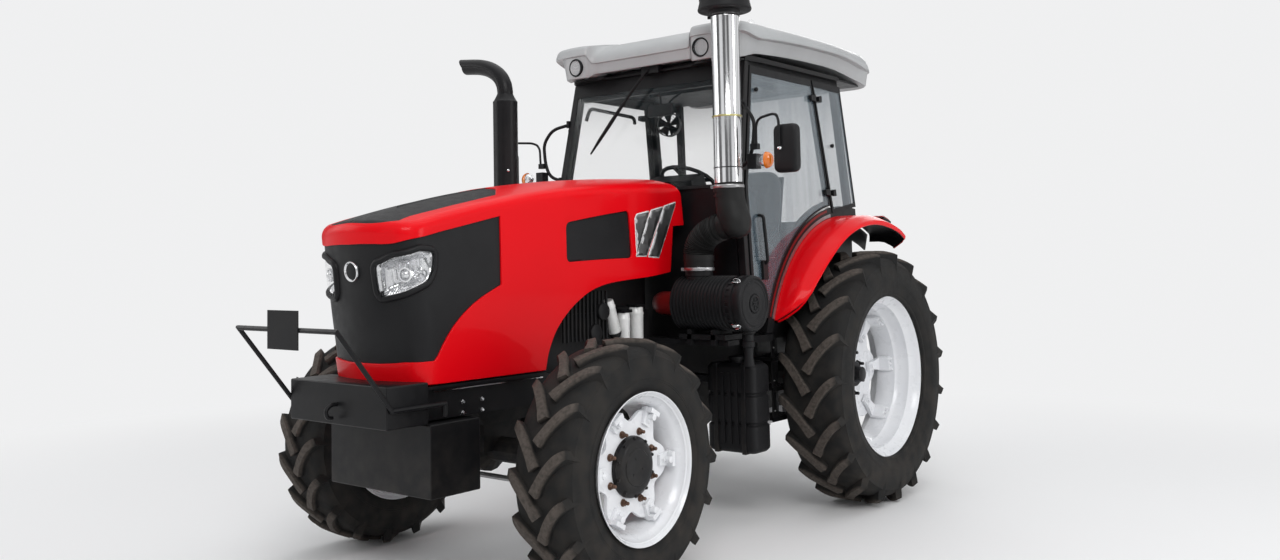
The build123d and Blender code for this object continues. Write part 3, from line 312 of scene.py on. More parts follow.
finishes = {
    "red_paint": dict(base=(0.76, 0.001, 0.006), dark=(0.70, 0.001, 0.005), rough=0.34, specular=0.10,
                      coat=0.13, coatRough=0.05, blotch=1.2, grain=900, grainDepth=0.008, roughSpread=0.05),
    "black_paint": dict(base=(0.007, 0.007, 0.008), dark=(0.013, 0.012, 0.012), rough=0.36, specular=0.2,
                        blotch=6, grain=260, grainDepth=0.05, dust=0.12, dustHeight=0.9),
    "cast_black": dict(base=(0.008, 0.008, 0.009), dark=(0.018, 0.016, 0.015), rough=0.5, specular=0.2,
                       blotch=9, grain=160, grainDepth=0.3, dust=0.2, dustHeight=1.0),
    "black_plastic": dict(base=(0.009, 0.009, 0.010), dark=(0.013, 0.013, 0.014), rough=0.45, specular=0.2,
                          blotch=5, grain=900, grainDepth=0.15),
    "grey_plastic": dict(base=(0.40, 0.41, 0.415), dark=(0.33, 0.34, 0.345), rough=0.42, blotch=2, grain=600,
                         grainDepth=0.05, coat=0.15),
    "white_paint": dict(base=(0.80, 0.81, 0.83), dark=(0.72, 0.73, 0.76), rough=0.3, coat=0.5, blotch=5,
                        grain=500, grainDepth=0.02, dust=0.12, dustHeight=0.9),
    "tyre_rubber": dict(base=(0.014, 0.014, 0.014), dark=(0.024, 0.022, 0.020), rough=0.74, specular=0.18,
                        blotch=7, grain=380, grainDepth=0.3, blotchShare=0.6, dust=0.3, dustHeight=1.6,
                        dustColour=(0.075, 0.062, 0.052)),
    "hose_rubber": dict(base=(0.010, 0.010, 0.010), dark=(0.018, 0.018, 0.018), rough=0.5, specular=0.2,
                        blotch=8, grain=500, grainDepth=0.1),
    "bright_steel": dict(base=(0.80, 0.80, 0.81), dark=(0.62, 0.63, 0.65), rough=0.12, metal=1.0, blotch=4,
                         grain=240, grainDepth=0.02, stretch=(3, 3, 0.25), roughSpread=0.1),
    "bare_steel": dict(base=(0.42, 0.42, 0.43), dark=(0.28, 0.27, 0.26), rough=0.38, metal=1.0, blotch=12,
                       grain=300, grainDepth=0.08),
    "amber_lens": dict(base=(0.85, 0.22, 0.01), dark=(0.75, 0.14, 0.005), rough=0.15, coat=1.0, blotch=8,
                       grain=120, grainDepth=0.03),
    "seat_cloth": dict(base=(0.030, 0.030, 0.033), dark=(0.055, 0.055, 0.060), rough=0.85, blotch=30,
                       grain=1400, grainDepth=0.5, sheen=0.4, specular=0.2),
    "filter_white": dict(base=(0.78, 0.78, 0.77), dark=(0.66, 0.66, 0.64), rough=0.25, coat=0.6, blotch=9,
                         grain=300, grainDepth=0.02),
}
materials = {name: finish(name + "_finish", **values) for name, values in finishes.items()}


def glassFinish(name, base, alpha, rough, grain=3.0):  # tinted film: what lies behind shows by 1 - alpha
    material = finish(name, base, tuple(0.8 * v for v in base), rough, coat=1.0, coatRough=0.02,
                      blotch=grain, grain=6, grainDepth=0.01, roughSpread=0.03, specular=0.8)
    material.node_tree.nodes["Principled BSDF"].inputs["Alpha"].default_value = alpha
    return material


materials["window_glass"] = glassFinish("window_glass_finish", (0.16, 0.20, 0.21), 0.34, 0.04)
materials["lamp_lens"] = glassFinish("lamp_lens_finish", (0.70, 0.74, 0.76), 0.07, 0.04)
materials["mirror_face"] = finish("mirror_face_finish", (0.85, 0.86, 0.88), (0.8, 0.8, 0.82), 0.05,
                                  metal=1.0, blotch=2, grainDepth=0, roughSpread=0.02)
materials["stripe_white"] = finish("stripe_white_finish", (0.82, 0.82, 0.82), (0.7, 0.7, 0.7), 0.3, coat=0.8,
                                   blotch=4)


# Stage: camera, floor and lights

view = dict(spot=(4.34824, -6.82905, 1.63152), yaw=39.81, pitch=3.22, roll=-0.97, lens=30.54, shiftX=0.0297,
            shiftY=-0.0625)


def makeCamera(values):  # looks along the yaw and pitch, then rolls about its own line of sight
    yaw, pitch, roll = (math.radians(values[k]) for k in ("yaw", "pitch", "roll"))
    ahead = Vector((-math.sin(yaw) * math.cos(pitch), math.cos(yaw) * math.cos(pitch), math.sin(pitch)))
    right = Vector((math.cos(yaw), math.sin(yaw), 0))
    up = right.cross(ahead)
    turnedRight = right * math.cos(roll) + up * math.sin(roll)
    turnedUp = up * math.cos(roll) - right * math.sin(roll)
    data = bpy.data.cameras.new("camera")
    data.lens = values["lens"]
    data.sensor_width = 36
    data.shift_x, data.shift_y = values["shiftX"], values["shiftY"]
    data.clip_end = 200
    camera = bpy.data.objects.new("camera", data)
    basis = Matrix((turnedRight, turnedUp, -ahead)).transposed().to_4x4()
    basis.translation = Vector(values["spot"]) + Vector(rearAxle)
    camera.matrix_world = basis
    bpy.context.scene.collection.objects.link(camera)
    bpy.context.scene.camera = camera


studio = dict(pale=(0.868, 0.871, 0.877), light=0.60, floorColour=(0.86, 0.86, 0.86), fadeFrom=3.4,
              fadeTo=7.5, fadeAhead=1.2, floorReach=40.0, bandDepth=0.85, bandCounts=(5.0, 8.7), ground=0.35)


def makeFloor():  # a round pale floor that turns into the backdrop's own colour away from the tractor
    mesh = bpy.data.meshes.new("floor")
    angle = np.linspace(0, 2 * math.pi, 64, endpoint=False)
    edge = studio["floorReach"] * np.stack([np.cos(angle), np.sin(angle), 0 * angle], axis=1) + rearAxle
    mesh.from_pydata(edge.tolist(), [], [list(range(64))])
    floor = bpy.data.objects.new("floor", mesh)
    bpy.context.scene.collection.objects.link(floor)
    material = finish("floor_finish", studio["floorColour"], studio["floorColour"], 0.7, blotch=0.3,
                      grainDepth=0, roughSpread=0.05, specular=0.1)
    tree, add = graphOf(material)
    centre = add("Mapping", {"Location": (0, -rearAxle[1] + studio["fadeAhead"], 0),
                             "Vector": add("TexCoord").outputs["Object"]})
    reach = add("VectorMath", {0: centre.outputs["Vector"]}, operation="LENGTH").outputs["Value"]
    fade = span(add, reach, studio["fadeFrom"], studio["fadeTo"], 0.0, 1.0, interpolation_type="SMOOTHSTEP")
    rays = add("LightPath").outputs  # only the camera, metal and glass see the backdrop's colour
    seen = maths(add, "MAXIMUM", maths(add, "MAXIMUM", rays["Is Camera Ray"], rays["Is Glossy Ray"]),
                 rays["Is Transmission Ray"])
    glow = add("Emission", {"Color": (*studio["pale"], 1)})
    blend = add("MixShader", {"Fac": maths(add, "MULTIPLY", fade, seen),
                              1: tree.nodes["Principled BSDF"].outputs[0], 2: glow.outputs[0]})
    tree.links.new(blend.outputs[0], tree.nodes["Material Output"].inputs["Surface"])
    mesh.materials.append(material)


def makeWorld():
    # three levels: the plain backdrop, the light that falls on things, and what shiny things mirror
    world = bpy.data.worlds.new("studio")
    tree, add = graphOf(world)
    parts = add("SeparateXYZ", {"Vector": add("TexCoord").outputs["Generated"]}).outputs
    turn = maths(add, "ARCTAN2", parts["Y"], parts["X"])
    waves = [maths(add, "SINE", maths(add, "MULTIPLY", turn, count), 0.0) for count in studio["bandCounts"]]
    bands = span(add, maths(add, "ADD", *waves), -0.5, 0.6, 0.0, 1.0, interpolation_type="SMOOTHSTEP")
    # bands end below the sky
    upper = span(add, parts["Z"], 0.30, 0.75, 1.0, 0.0, interpolation_type="SMOOTHSTEP")
    depth = maths(add, "MULTIPLY", maths(add, "MULTIPLY", bands, upper), studio["bandDepth"])
    ground = span(add, parts["Z"], -0.10, 0.02, studio["ground"], 1.0, interpolation_type="SMOOTHSTEP")
    level = maths(add, "MULTIPLY", maths(add, "SUBTRACT", 1.0, depth), ground)
    pale = (*studio["pale"], 1)
    mirroredShade = add("Background", {"Color": pale, "Strength": level})
    lit = add("Background", {"Color": (0.97, 0.98, 1.0, 1), "Strength": studio["light"]})
    seen = add("Background", {"Color": pale, "Strength": 1.0})
    rays = add("LightPath").outputs
    glossy = add("MixShader", {"Fac": rays["Is Glossy Ray"], 1: lit.outputs[0], 2: mirroredShade.outputs[0]})
    direct = maths(add, "MAXIMUM", rays["Is Camera Ray"], rays["Is Transmission Ray"])
    blend = add("MixShader", {"Fac": direct, 1: glossy.outputs[0], 2: seen.outputs[0]})
    tree.links.new(blend.outputs[0], tree.nodes["World Output"].inputs["Surface"])
    bpy.context.scene.world = world


lights = {
    "key": dict(spot=(6.5, -7.5, 7.5), aim=(0.3, -1.6, 1.2), size=(5.0, 3.5), power=330),
    "fill": dict(spot=(-7.0, -7.0, 4.5), aim=(0, -2, 1.2), size=(5.0, 4.0), power=110),
    "top": dict(spot=(0.5, -1.2, 8.5), aim=(0.5, -1.2, 0), size=(8.0, 7.0), power=160),
    "side": dict(spot=(9.0, 0.5, 3.0), aim=(0.8, -0.6, 1.3), size=(2.2, 5.5), power=150),
    "rear": dict(spot=(-3.0, 8.0, 5.0), aim=(0, 0, 1.6), size=(5.0, 3.0), power=130),
}


def makeLights(table):  # rectangular soft lights, each aimed at a point
    for name, values in table.items():
        data = bpy.data.lights.new(name, "AREA")
        data.shape = "RECTANGLE"
        data.size, data.size_y = values["size"]
        data.energy = values["power"]
        light = bpy.data.objects.new(name, data)
        spot, aim = (Vector(values[k]) + Vector(rearAxle) for k in ("spot", "aim"))
        facing = (aim - spot).to_track_quat("-Z", "Y").to_matrix().to_4x4()
        light.matrix_world = Matrix.Translation(spot) @ facing
        bpy.context.scene.collection.objects.link(light)


makeWorld()
bpy.context.scene.view_settings.view_transform = "Standard"
makeCamera(view)
makeFloor()
makeLights(lights)
print("stage ready")

# The CAD pieces that stay get their slot's finish and softened edges

edgeWidths = {"cab_pillars": 0.004}
for name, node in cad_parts.items():
    slotName = node.material_slots[0].material.name.split(".")[0] if node.material_slots else ""
    chosen = materials.get(slotName, materials["cast_black"])
    for slot in node.material_slots:
        slot.material = chosen
    edge = node.modifiers.new("edge", "BEVEL")
    edge.width = edgeWidths.get(name, 0.003)
    edge.segments = 2
    edge.limit_method = "ANGLE"
    edge.angle_limit = math.radians(40)
print("CAD pieces dressed")


# Tyres: a turned carcass with two rows of bars

tyreShapes = {
    "rear": dict(radius=0.835, halfWidth=0.216, bead=0.530, lugs=19, lugHeight=0.042, barWidth=0.047,
                 spread=0.112, nodes=("rear_tyre_left", "rear_tyre_right"),
                 bodies=("rear_wheel_left", "rear_wheel_right")),
    "front": dict(radius=0.625, halfWidth=0.183, bead=0.358, lugs=17, lugHeight=0.036, barWidth=0.041,
                  spread=0.094, nodes=("front_tyre_left", "front_tyre_right"),
                  bodies=("front_wheel_left", "front_wheel_right")),
}


def carcassProfile(shape):  # outer line of a cross-section from bead to bead, then back inside
    tread = shape["radius"] - shape["lugHeight"]
    bead, half = shape["bead"], shape["halfWidth"]
    side = tread - bead
    outer = [(0.84, 0.0), (0.87, 0.03), (0.875, 0.075), (0.90, 0.10), (0.955, 0.24), (0.985, 0.38),
             (0.992, 0.50), (0.975, 0.64), (0.945, 0.76), (0.950, 0.775), (0.950, 0.80), (0.925, 0.815),
             (0.86, 0.90), (0.76, 0.955), (0.60, 0.983), (0.40, 0.995), (0.20, 1.0), (0.0, 1.002)]
    right = np.array([(half * x, bead + side * r) for x, r in outer])
    left = right[:-1] * [-1, 1]
    inner = np.array([(-0.6 * half, bead - 0.004), (0.6 * half, bead - 0.004)])
    return np.concatenate([right, left[::-1], inner])


def lugPart(shape):
    # one bar: from near the middle out to the shoulder, bending from steep to flat as it goes
    along = np.linspace(0, 1, 14)
    tread = shape["radius"] - shape["lugHeight"]
    half, width = shape["halfWidth"], shape["barWidth"]
    x = -0.035 * half + half * (0.035 + 0.945 * along)
    swing = shape["spread"] * 2 * (0.38 * along + 0.62 * (1 - (1 - along) ** 1.9) - 0.5)
    stretch = np.gradient(swing, x)
    lean = 1 / np.sqrt(1 + stretch ** 2)
    across = np.array([(-0.66, -0.30), (-0.56, 0.72), (-0.47, 1.0), (0.47, 1.0), (0.56, 0.72),
                       (0.66, -0.30)])
    w = width * (1.0 + 0.18 * (along < 0.12))[:, None]
    offset = across[None, :, 0] * w
    px = x[:, None] + offset * (-stretch * lean)[:, None]
    arc = swing[:, None] + offset * lean[:, None]
    # the top stays on the outer circle, dropping a little at the shoulder; the foot sinks into the carcass
    share = np.clip(np.abs(px) / half, 0, 1)
    top = shape["radius"] - 0.030 * np.clip((share - 0.55) / 0.45, 0, 1) ** 2
    foot = tread - 0.115 * np.clip((share - 0.78) / 0.22, 0, 1) ** 1.4 - 0.004
    r = foot + (top - foot) * np.clip(across[None, :, 1], 0, 1) - 0.012 * (across[None, :, 1] < 0)
    px = np.clip(px, -half, half * 0.985)
    angle = arc / tread
    points = np.stack([px, r * np.sin(angle), r * np.cos(angle)], axis=-1)
    return gridPart(points, closeColumns=True, capRows=True)


def treadFinish(name, centre, radius):  # the rubber's finish, with dry earth on the tops of the lugs
    material = finish(name, **finishes["tyre_rubber"])
    tree, add = graphOf(material)
    shader = tree.nodes["Principled BSDF"]
    plain = shader.inputs["Base Color"].links[0].from_socket
    place = add("TexCoord").outputs["Object"]
    across = add("Mapping", {"Location": (0, -centre[1] - rearAxle[1], -centre[2]), "Scale": (0, 1, 1),
                             "Vector": place})
    reach = add("VectorMath", {0: across.outputs["Vector"]}, operation="LENGTH").outputs["Value"]
    top = span(add, reach, radius - 0.026, radius - 0.010, 0.0, 0.85)
    patch = span(add, noise(add, place, 55, 6), 0.30, 0.62, 0.45, 1.0)
    colour = mixColour(add, maths(add, "MULTIPLY", top, patch), plain, (0.105, 0.088, 0.076, 1))
    tree.links.new(colour, shader.inputs["Base Color"])
    return material


def makeTyre(shape, side, node, body):
    carcass = lathe(carcassProfile(shape), shape["lugs"] * 8)
    pitch = 360 / shape["lugs"]
    lug = lugPart(shape)
    rows = [repeatRound(lug, shape["lugs"]), repeatRound(mirrored(lug), shape["lugs"], pitch / 2)]
    ribs = []
    tread = shape["radius"] - shape["lugHeight"]
    for share, height in ((0.30, 0.0022), (0.34, 0.0016)):  # fine rings low on each flank
        r = shape["bead"] + share * (tread - shape["bead"])
        x = shape["halfWidth"] * (0.962 if share < 0.32 else 0.972)
        ring = lathe([(x, r - 0.003), (x + height, r - 0.0015), (x + height, r + 0.0015), (x, r + 0.003)],
                     120)
        ribs += [ring, mirrored(ring)]
    part = joinParts([carcass, *rows, *ribs])
    if side < 0:
        part = mirrored(part)
    place = middle(node)
    key = "tread_" + node.split("_")[0]
    if key not in materials:
        materials[key] = treadFinish(key + "_finish", place, shape["radius"])
    makePiece(node + "_rubber", moved(part, place), key, (node,), slot="tyre_rubber", body=body, smooth=32)


for shape in tyreShapes.values():
    for side, node, body in zip((1, -1), shape["nodes"], shape["bodies"]):
        makeTyre(shape, side, node, body)
print("tyres made")


# Wheel rims: a turned barrel, a lobed disc, welded brackets and a hub

materials["brown_steel"] = finish("brown_steel_finish", (0.10, 0.052, 0.032), (0.16, 0.09, 0.06), 0.4,
                                  metal=0.5, blotch=40, grainDepth=0.1)


def rimLine(radius, half, drop, steps):  # outer skin of a drop-centre rim, then its inner side, closed
    outer = [(share * half, radius - drop * depth) for share, depth in steps]
    wall = 0.008
    inner = [(x * (1 - 0.012 / half), r - wall) for x, r in reversed(outer)]
    lipRight = [(half, radius + 0.012), (half - 0.004, radius + 0.015), (half - 0.009, radius + 0.012)]
    lipLeft = [(-x, r) for x, r in reversed(lipRight)]
    return lipLeft + outer + lipRight + inner


def discPart(radii, hole, x0, x1, sides):  # flat plate whose edge follows radii round the circle
    angle = np.linspace(0, 2 * math.pi, sides, endpoint=False)
    edge = np.stack([radii * np.cos(angle), radii * np.sin(angle)], axis=-1)
    bore = np.stack([hole * np.cos(angle), hole * np.sin(angle)], axis=-1)

    def ringAt(flat, x):
        return np.concatenate([np.full((sides, 1), x), flat], axis=1)

    points = np.stack([ringAt(bore, x0), ringAt(edge, x0), ringAt(edge * 0.995, x0 + 0.6 * (x1 - x0)),
                       ringAt(edge * 0.985, x1), ringAt(bore, x1)], axis=1)
    return gridPart(points, closeRows=True, closeColumns=True)


def placeRim(node, body, side, place, pieces):
    # the right wheel's pieces are mirrored, then all go to their wheel
    for name, part, finishName, settings in pieces:
        part = part if side > 0 else mirrored(part)
        makePiece(node + "_" + name, moved(part, place), finishName, body=body, **settings)


def makeRearRim(side, node, body):
    place = middle(node)
    steps = [(-0.93, 0.0), (-0.86, 0.06), (-0.70, 0.34), (-0.62, 0.95), (-0.50, 1.0), (0.10, 1.0),
             (0.22, 0.72), (0.62, 0.66), (0.72, 0.38), (0.86, 0.07), (0.93, 0.0)]
    barrel = lathe(rimLine(0.528, 0.198, 0.058, steps), 128)
    angle = np.linspace(0, 2 * math.pi, 192, endpoint=False)
    turnedBy = angle - math.radians(4)
    lobes = 0.398 + 0.036 * np.cos(8 * turnedBy) - 0.006 * np.cos(16 * turnedBy)
    disc = discPart(lobes, 0.085, -0.134, -0.116, 192)
    dish = lathe([(-0.118, 0.05), (-0.118, 0.20), (-0.112, 0.215), (-0.108, 0.20), (-0.108, 0.05)], 96)
    # a bracket: a welded shoe on the barrel, a web that narrows inwards, and the pad bolted to the disc
    web = prism([(-0.046, 0.466), (0.046, 0.466), (0.040, 0.420), (0.028, 0.350), (0.030, 0.285),
                 (-0.030, 0.285), (-0.028, 0.350), (-0.040, 0.420)], -0.112, -0.086)
    shoe = tube(bendPath([(-0.100, -0.040, 0.452), (-0.02, -0.040, 0.452), (0.0, -0.030, 0.458)], 0.02),
                0.0155, 10)
    farShoe = (shoe[0] * [1, -1, 1], [f[:, ::-1] for f in shoe[1]])
    saddle = box((-0.105, -0.040, 0.438), (-0.012, 0.040, 0.462))
    arms = repeatRound(joinParts([web, shoe, farShoe, saddle]), 8, 4)
    bolts = repeatRound(joinParts([bolt(0.026, 0.016, (-0.084, 0.0, 0.312)),
                                   bolt(0.018, 0.010, (-0.012, 0, 0.45))]),
                        8, 4)
    white = joinParts([barrel, disc, dish, arms])
    hub = lathe([(-0.13, 0.0), (-0.13, 0.112), (-0.10, 0.112), (-0.098, 0.088), (-0.05, 0.084),
                 (-0.045, 0.078), (-0.045, 0.052), (0.0, 0.050), (0.004, 0.044), (0.004, 0.0)], 48)
    inner = lathe([(-0.246, 0.050), (-0.246, 0.112), (-0.13, 0.112), (-0.13, 0.050)], 48)
    studs = repeatRound(joinParts([bolt(0.036, 0.022, (-0.108, 0, 0.150)),
                                   lathe([(-0.09, 0.011), (-0.062, 0.011), (-0.058, 0.008)], 12,
                                         closed=False, at=(0, 0, 0.150))]), 8, 22.5)
    placeRim(node, body, side, place, (
        ("steel", white, "white_paint", dict(replaced=(node,), bevel=0.0015)),
        ("bolts", bolts, "white_paint", {}),
        ("hub", joinParts([hub, inner, studs]), "black_paint", {})))


def makeFrontRim(side, node, body):
    place = middle(node)
    place[0] = side * 0.918
    steps = [(-0.93, 0.0), (-0.85, 0.08), (-0.66, 0.40), (-0.55, 1.0), (0.18, 1.0), (0.32, 0.70),
             (0.62, 0.62), (0.74, 0.32), (0.86, 0.06), (0.93, 0.0)]
    barrel = lathe(rimLine(0.356, 0.182, 0.052, steps), 112)
    angle = np.linspace(0, 2 * math.pi, 180, endpoint=False)
    lobes = 0.262 + 0.034 * np.cos(6 * angle) - 0.006 * np.cos(12 * angle)
    disc = discPart(lobes, 0.12, 0.060, 0.078, 180)
    web = prism([(-0.040, 0.302), (0.040, 0.302), (0.034, 0.268), (0.026, 0.215), (-0.026, 0.215),
                 (-0.034, 0.268)],
                0.076, 0.096)
    saddle = box((0.060, -0.036, 0.276), (0.128, 0.036, 0.300))
    ear = lathe([(0.0, 0.0), (0.0, 0.017), (0.052, 0.017), (0.056, 0.0)], 12, at=(0.078, 0.0, 0.262))
    arms = repeatRound(joinParts([web, saddle, ear]), 6, 30)
    bolts = repeatRound(bolt(0.020, 0.012, (0.096, 0, 0.238)), 6, 30)
    drum = lathe([(-0.150, 0.056), (-0.150, 0.150), (0.05, 0.150), (0.088, 0.150), (0.100, 0.146),
                  (0.104, 0.138), (0.112, 0.132), (0.118, 0.118), (0.118, 0.092), (0.122, 0.088),
                  (0.123, 0.060), (0.120, 0.040), (0.120, 0.0), (0.02, 0.0), (0.02, 0.056)], 72)
    capBolts = repeatRound(bolt(0.016, 0.010, (0.104, 0, 0.139)), 10)
    ribs = repeatRound(prism([(-0.004, 0.040), (0.004, 0.040), (0.003, 0.086), (-0.003, 0.086)], 0.119,
                             0.1225), 3, 15)
    studs = repeatRound(joinParts([bolt(0.030, 0.018, (0.078, 0, 0.176)),
                                   lathe([(0.09, 0.009), (0.112, 0.009), (0.115, 0.006)], 12, closed=False,
                                         at=(0, 0, 0.176))]), 8, 22.5)
    placeRim(node, body, side, place, (
        ("steel", joinParts([barrel, disc, arms]), "white_paint", dict(replaced=(node,), bevel=0.0015)),
        ("bolts", bolts, "white_paint", {}),
        ("drum", joinParts([drum, capBolts, ribs]), "black_paint", {}),
        ("studs", studs, "brown_steel", dict(slot="bare_steel"))))


for side, word in ((1, "left"), (-1, "right")):
    makeRearRim(side, "rear_rim_" + word, "rear_wheel_" + word)
    makeFrontRim(side, "front_rim_" + word, "front_wheel_" + word)
print("rims made")


# Panels: a region of a flat parameter chart, triangulated and laid on a surface

def evenly(path, step, closed=False):  # points along a path about one step apart
    path = np.asarray(path, float)
    if closed:
        path = np.concatenate([path, path[:1]])
    run = np.concatenate([[0], np.cumsum(np.linalg.norm(np.diff(path, axis=0), axis=1))])
    count = max(4, int(round(run[-1] / step)))
    spots = np.linspace(0, run[-1], count + 1)
    corners = np.concatenate([path[:1], *[path[n:n + 1] for n in range(1, len(path) - 1)
                                          if sharpTurn(path[n - 1:n + 2])], path[-1:]])
    out = np.stack([np.interp(spots, run, path[:, k]) for k in range(2)], axis=1)
    for corner in corners[:-1] if closed else corners:  # the nearest sample takes each real corner
        out[np.argmin(((out - corner) ** 2).sum(1))] = corner
    return out[:-1] if closed else out


def sharpTurn(three):
    a, b = three[1] - three[0], three[2] - three[1]
    return a @ b < 0.88 * np.linalg.norm(a) * np.linalg.norm(b)


def insideOf(points, loop):  # even-odd rule for many points at once
    x, y = points[:, :1], points[:, 1:]
    ax, ay = loop[None, :, 0], loop[None, :, 1]
    bx, by = np.roll(ax, -1, 1), np.roll(ay, -1, 1)
    crosses = ((ay > y) != (by > y)) & (x < (bx - ax) * (y - ay) / np.where(by == ay, 1e-12, by - ay) + ax)
    return crosses.sum(1) % 2 == 1


def farFrom(points, loop, gap):  # points at least a gap from every sample of a loop
    return ((points[:, None] - loop[None]) ** 2).sum(-1).min(1) > gap * gap


def panelPart(outline, holes, surface, spacing=0.02, step=None):
    loops = [evenly(loop, step or spacing * 0.6, closed=True) for loop in [outline, *holes]]
    low, high = loops[0].min(0), loops[0].max(0)
    across, up = np.meshgrid(np.arange(low[0], high[0], spacing),
                             np.arange(low[1], high[1], spacing * 0.866))
    across = across + spacing / 2 * (np.arange(len(across)) % 2)[:, None]
    inner = np.stack([across.ravel(), up.ravel()], axis=1)
    inner = inner[insideOf(inner, loops[0])]
    for loop in loops[1:]:
        inner = inner[~insideOf(inner, loop)]
    for loop in loops:
        inner = inner[farFrom(inner, loop, spacing * 0.55)]
    points = np.concatenate([*loops, inner])
    edges, start = [], 0
    for loop in loops:
        edges += [(start + n, start + (n + 1) % len(loop)) for n in range(len(loop))]
        start += len(loop)
    flat, _, triangles, *_ = geometry.delaunay_2d_cdt([Vector(p) for p in points.tolist()], edges, [], 0,
                                                      1e-7)
    flat = np.array([tuple(p) for p in flat])
    triangles = np.array([t for t in triangles if len(t) == 3])
    centre = flat[triangles].mean(1)
    keep = insideOf(centre, loops[0])
    for loop in loops[1:]:
        keep &= ~insideOf(centre, loop)
    return surface(flat), [triangles[keep]]


def chartNormal(surface, spots, nudge=0.002):  # unit normal from small steps along both chart directions
    along = surface(spots + [nudge, 0]) - surface(spots - [nudge, 0])
    up = surface(spots + [0, nudge]) - surface(spots - [0, nudge])
    normal = np.cross(up, along)
    return normal / np.maximum(np.linalg.norm(normal, axis=1), 1e-12)[:, None]


def raised(surface, height, nudge=0.002):  # the same surface moved out along its normal
    def at(spots):
        lift = height(spots)[:, None] if callable(height) else height
        return surface(spots) + lift * chartNormal(surface, spots, nudge)
    return at


def edging(loop, profile, surface, step=0.012, closed=True):
    # a small profile carried along a line on a surface
    path = evenly(loop, step, closed)
    spots = surface(path)
    normal = chartNormal(surface, path)
    if closed:
        tangent = np.roll(spots, -1, 0) - np.roll(spots, 1, 0)
    else:
        tangent = np.gradient(spots, axis=0)
    tangent /= np.linalg.norm(tangent, axis=1)[:, None]
    side = np.cross(normal, tangent)
    profile = np.asarray(profile, float)
    points = spots[:, None] + side[:, None] * profile[None, :, :1] + normal[:, None] * profile[None, :, 1:]
    return gridPart(points, closeRows=closed, closeColumns=True, capRows=not closed)


def thicken(piece, thickness, bevel=0.002, offset=-1, segments=3):  # a wall inwards, then rounded edges
    wall = piece.modifiers.new("wall", "SOLIDIFY")
    wall.thickness = thickness
    wall.offset = offset
    if bevel:
        edge = piece.modifiers.new("edge", "BEVEL")
        edge.width = bevel
        edge.segments = segments
        edge.limit_method = "ANGLE"
        edge.angle_limit = math.radians(50)
        edge.harden_normals = True


# Hood: a plan line gives the skirt, a rounded shoulder leads into the lid, whose lines run to the middle

hood = dict(half=0.360, rear=-1.215, bottom=1.052, cornerY=-3.372, bulge=0.092, cornerBack=0.11,
            cornerIn=0.10, lean=0.134, round=0.066, crown=0.062, tuck=0.007, apex=-3.24, skirtSpan=0.80,
            roundSpan=0.20, lidSpan=0.36, topLine=[(-3.800, 1.770), (-3.227, 1.941), (-2.700, 2.030),
                                                   (-2.000, 2.121), (-1.100, 2.160)])
topCurve = np.polyfit(*np.array(hood["topLine"]).T, 3)


def hoodPlan():  # rear left corner forward, round the nose corner, to the middle of the front
    h = hood
    side = np.stack([np.full(80, h["half"]), np.linspace(h["rear"], h["cornerY"] + h["cornerBack"], 80)],
                    axis=1)
    frontX = np.linspace(h["half"] - h["cornerIn"], 0, 40)
    front = np.stack([frontX, h["cornerY"] - h["bulge"] * (1 - (frontX / h["half"]) ** 2)], axis=1)
    t = np.linspace(0, 1, 24)[1:-1, None]
    turn = (1 - t) ** 2 * side[-1] + 2 * t * (1 - t) * np.array([h["half"],
                                                                 h["cornerY"] - 0.012]) + t ** 2 * front[0]
    line = np.concatenate([side, turn, front])
    gap = np.linalg.norm(np.diff(line, axis=0), axis=1)
    weight = 1 + 0.9 * np.exp(-((line[1:, 1] - h["cornerY"]) / 0.12) ** 2) * (line[1:, 0] > 0.2)
    chart = np.concatenate([[0], np.cumsum(gap * weight)])
    return chart, line


hoodChart, hoodLine = hoodPlan()
hoodEnd = hoodChart[-1]


def lidHeight(x, y):  # the spine's height less a crown that grows towards the sides
    return np.polyval(topCurve, y) - hood["crown"] * (np.abs(x) / hood["half"]) ** 2.2


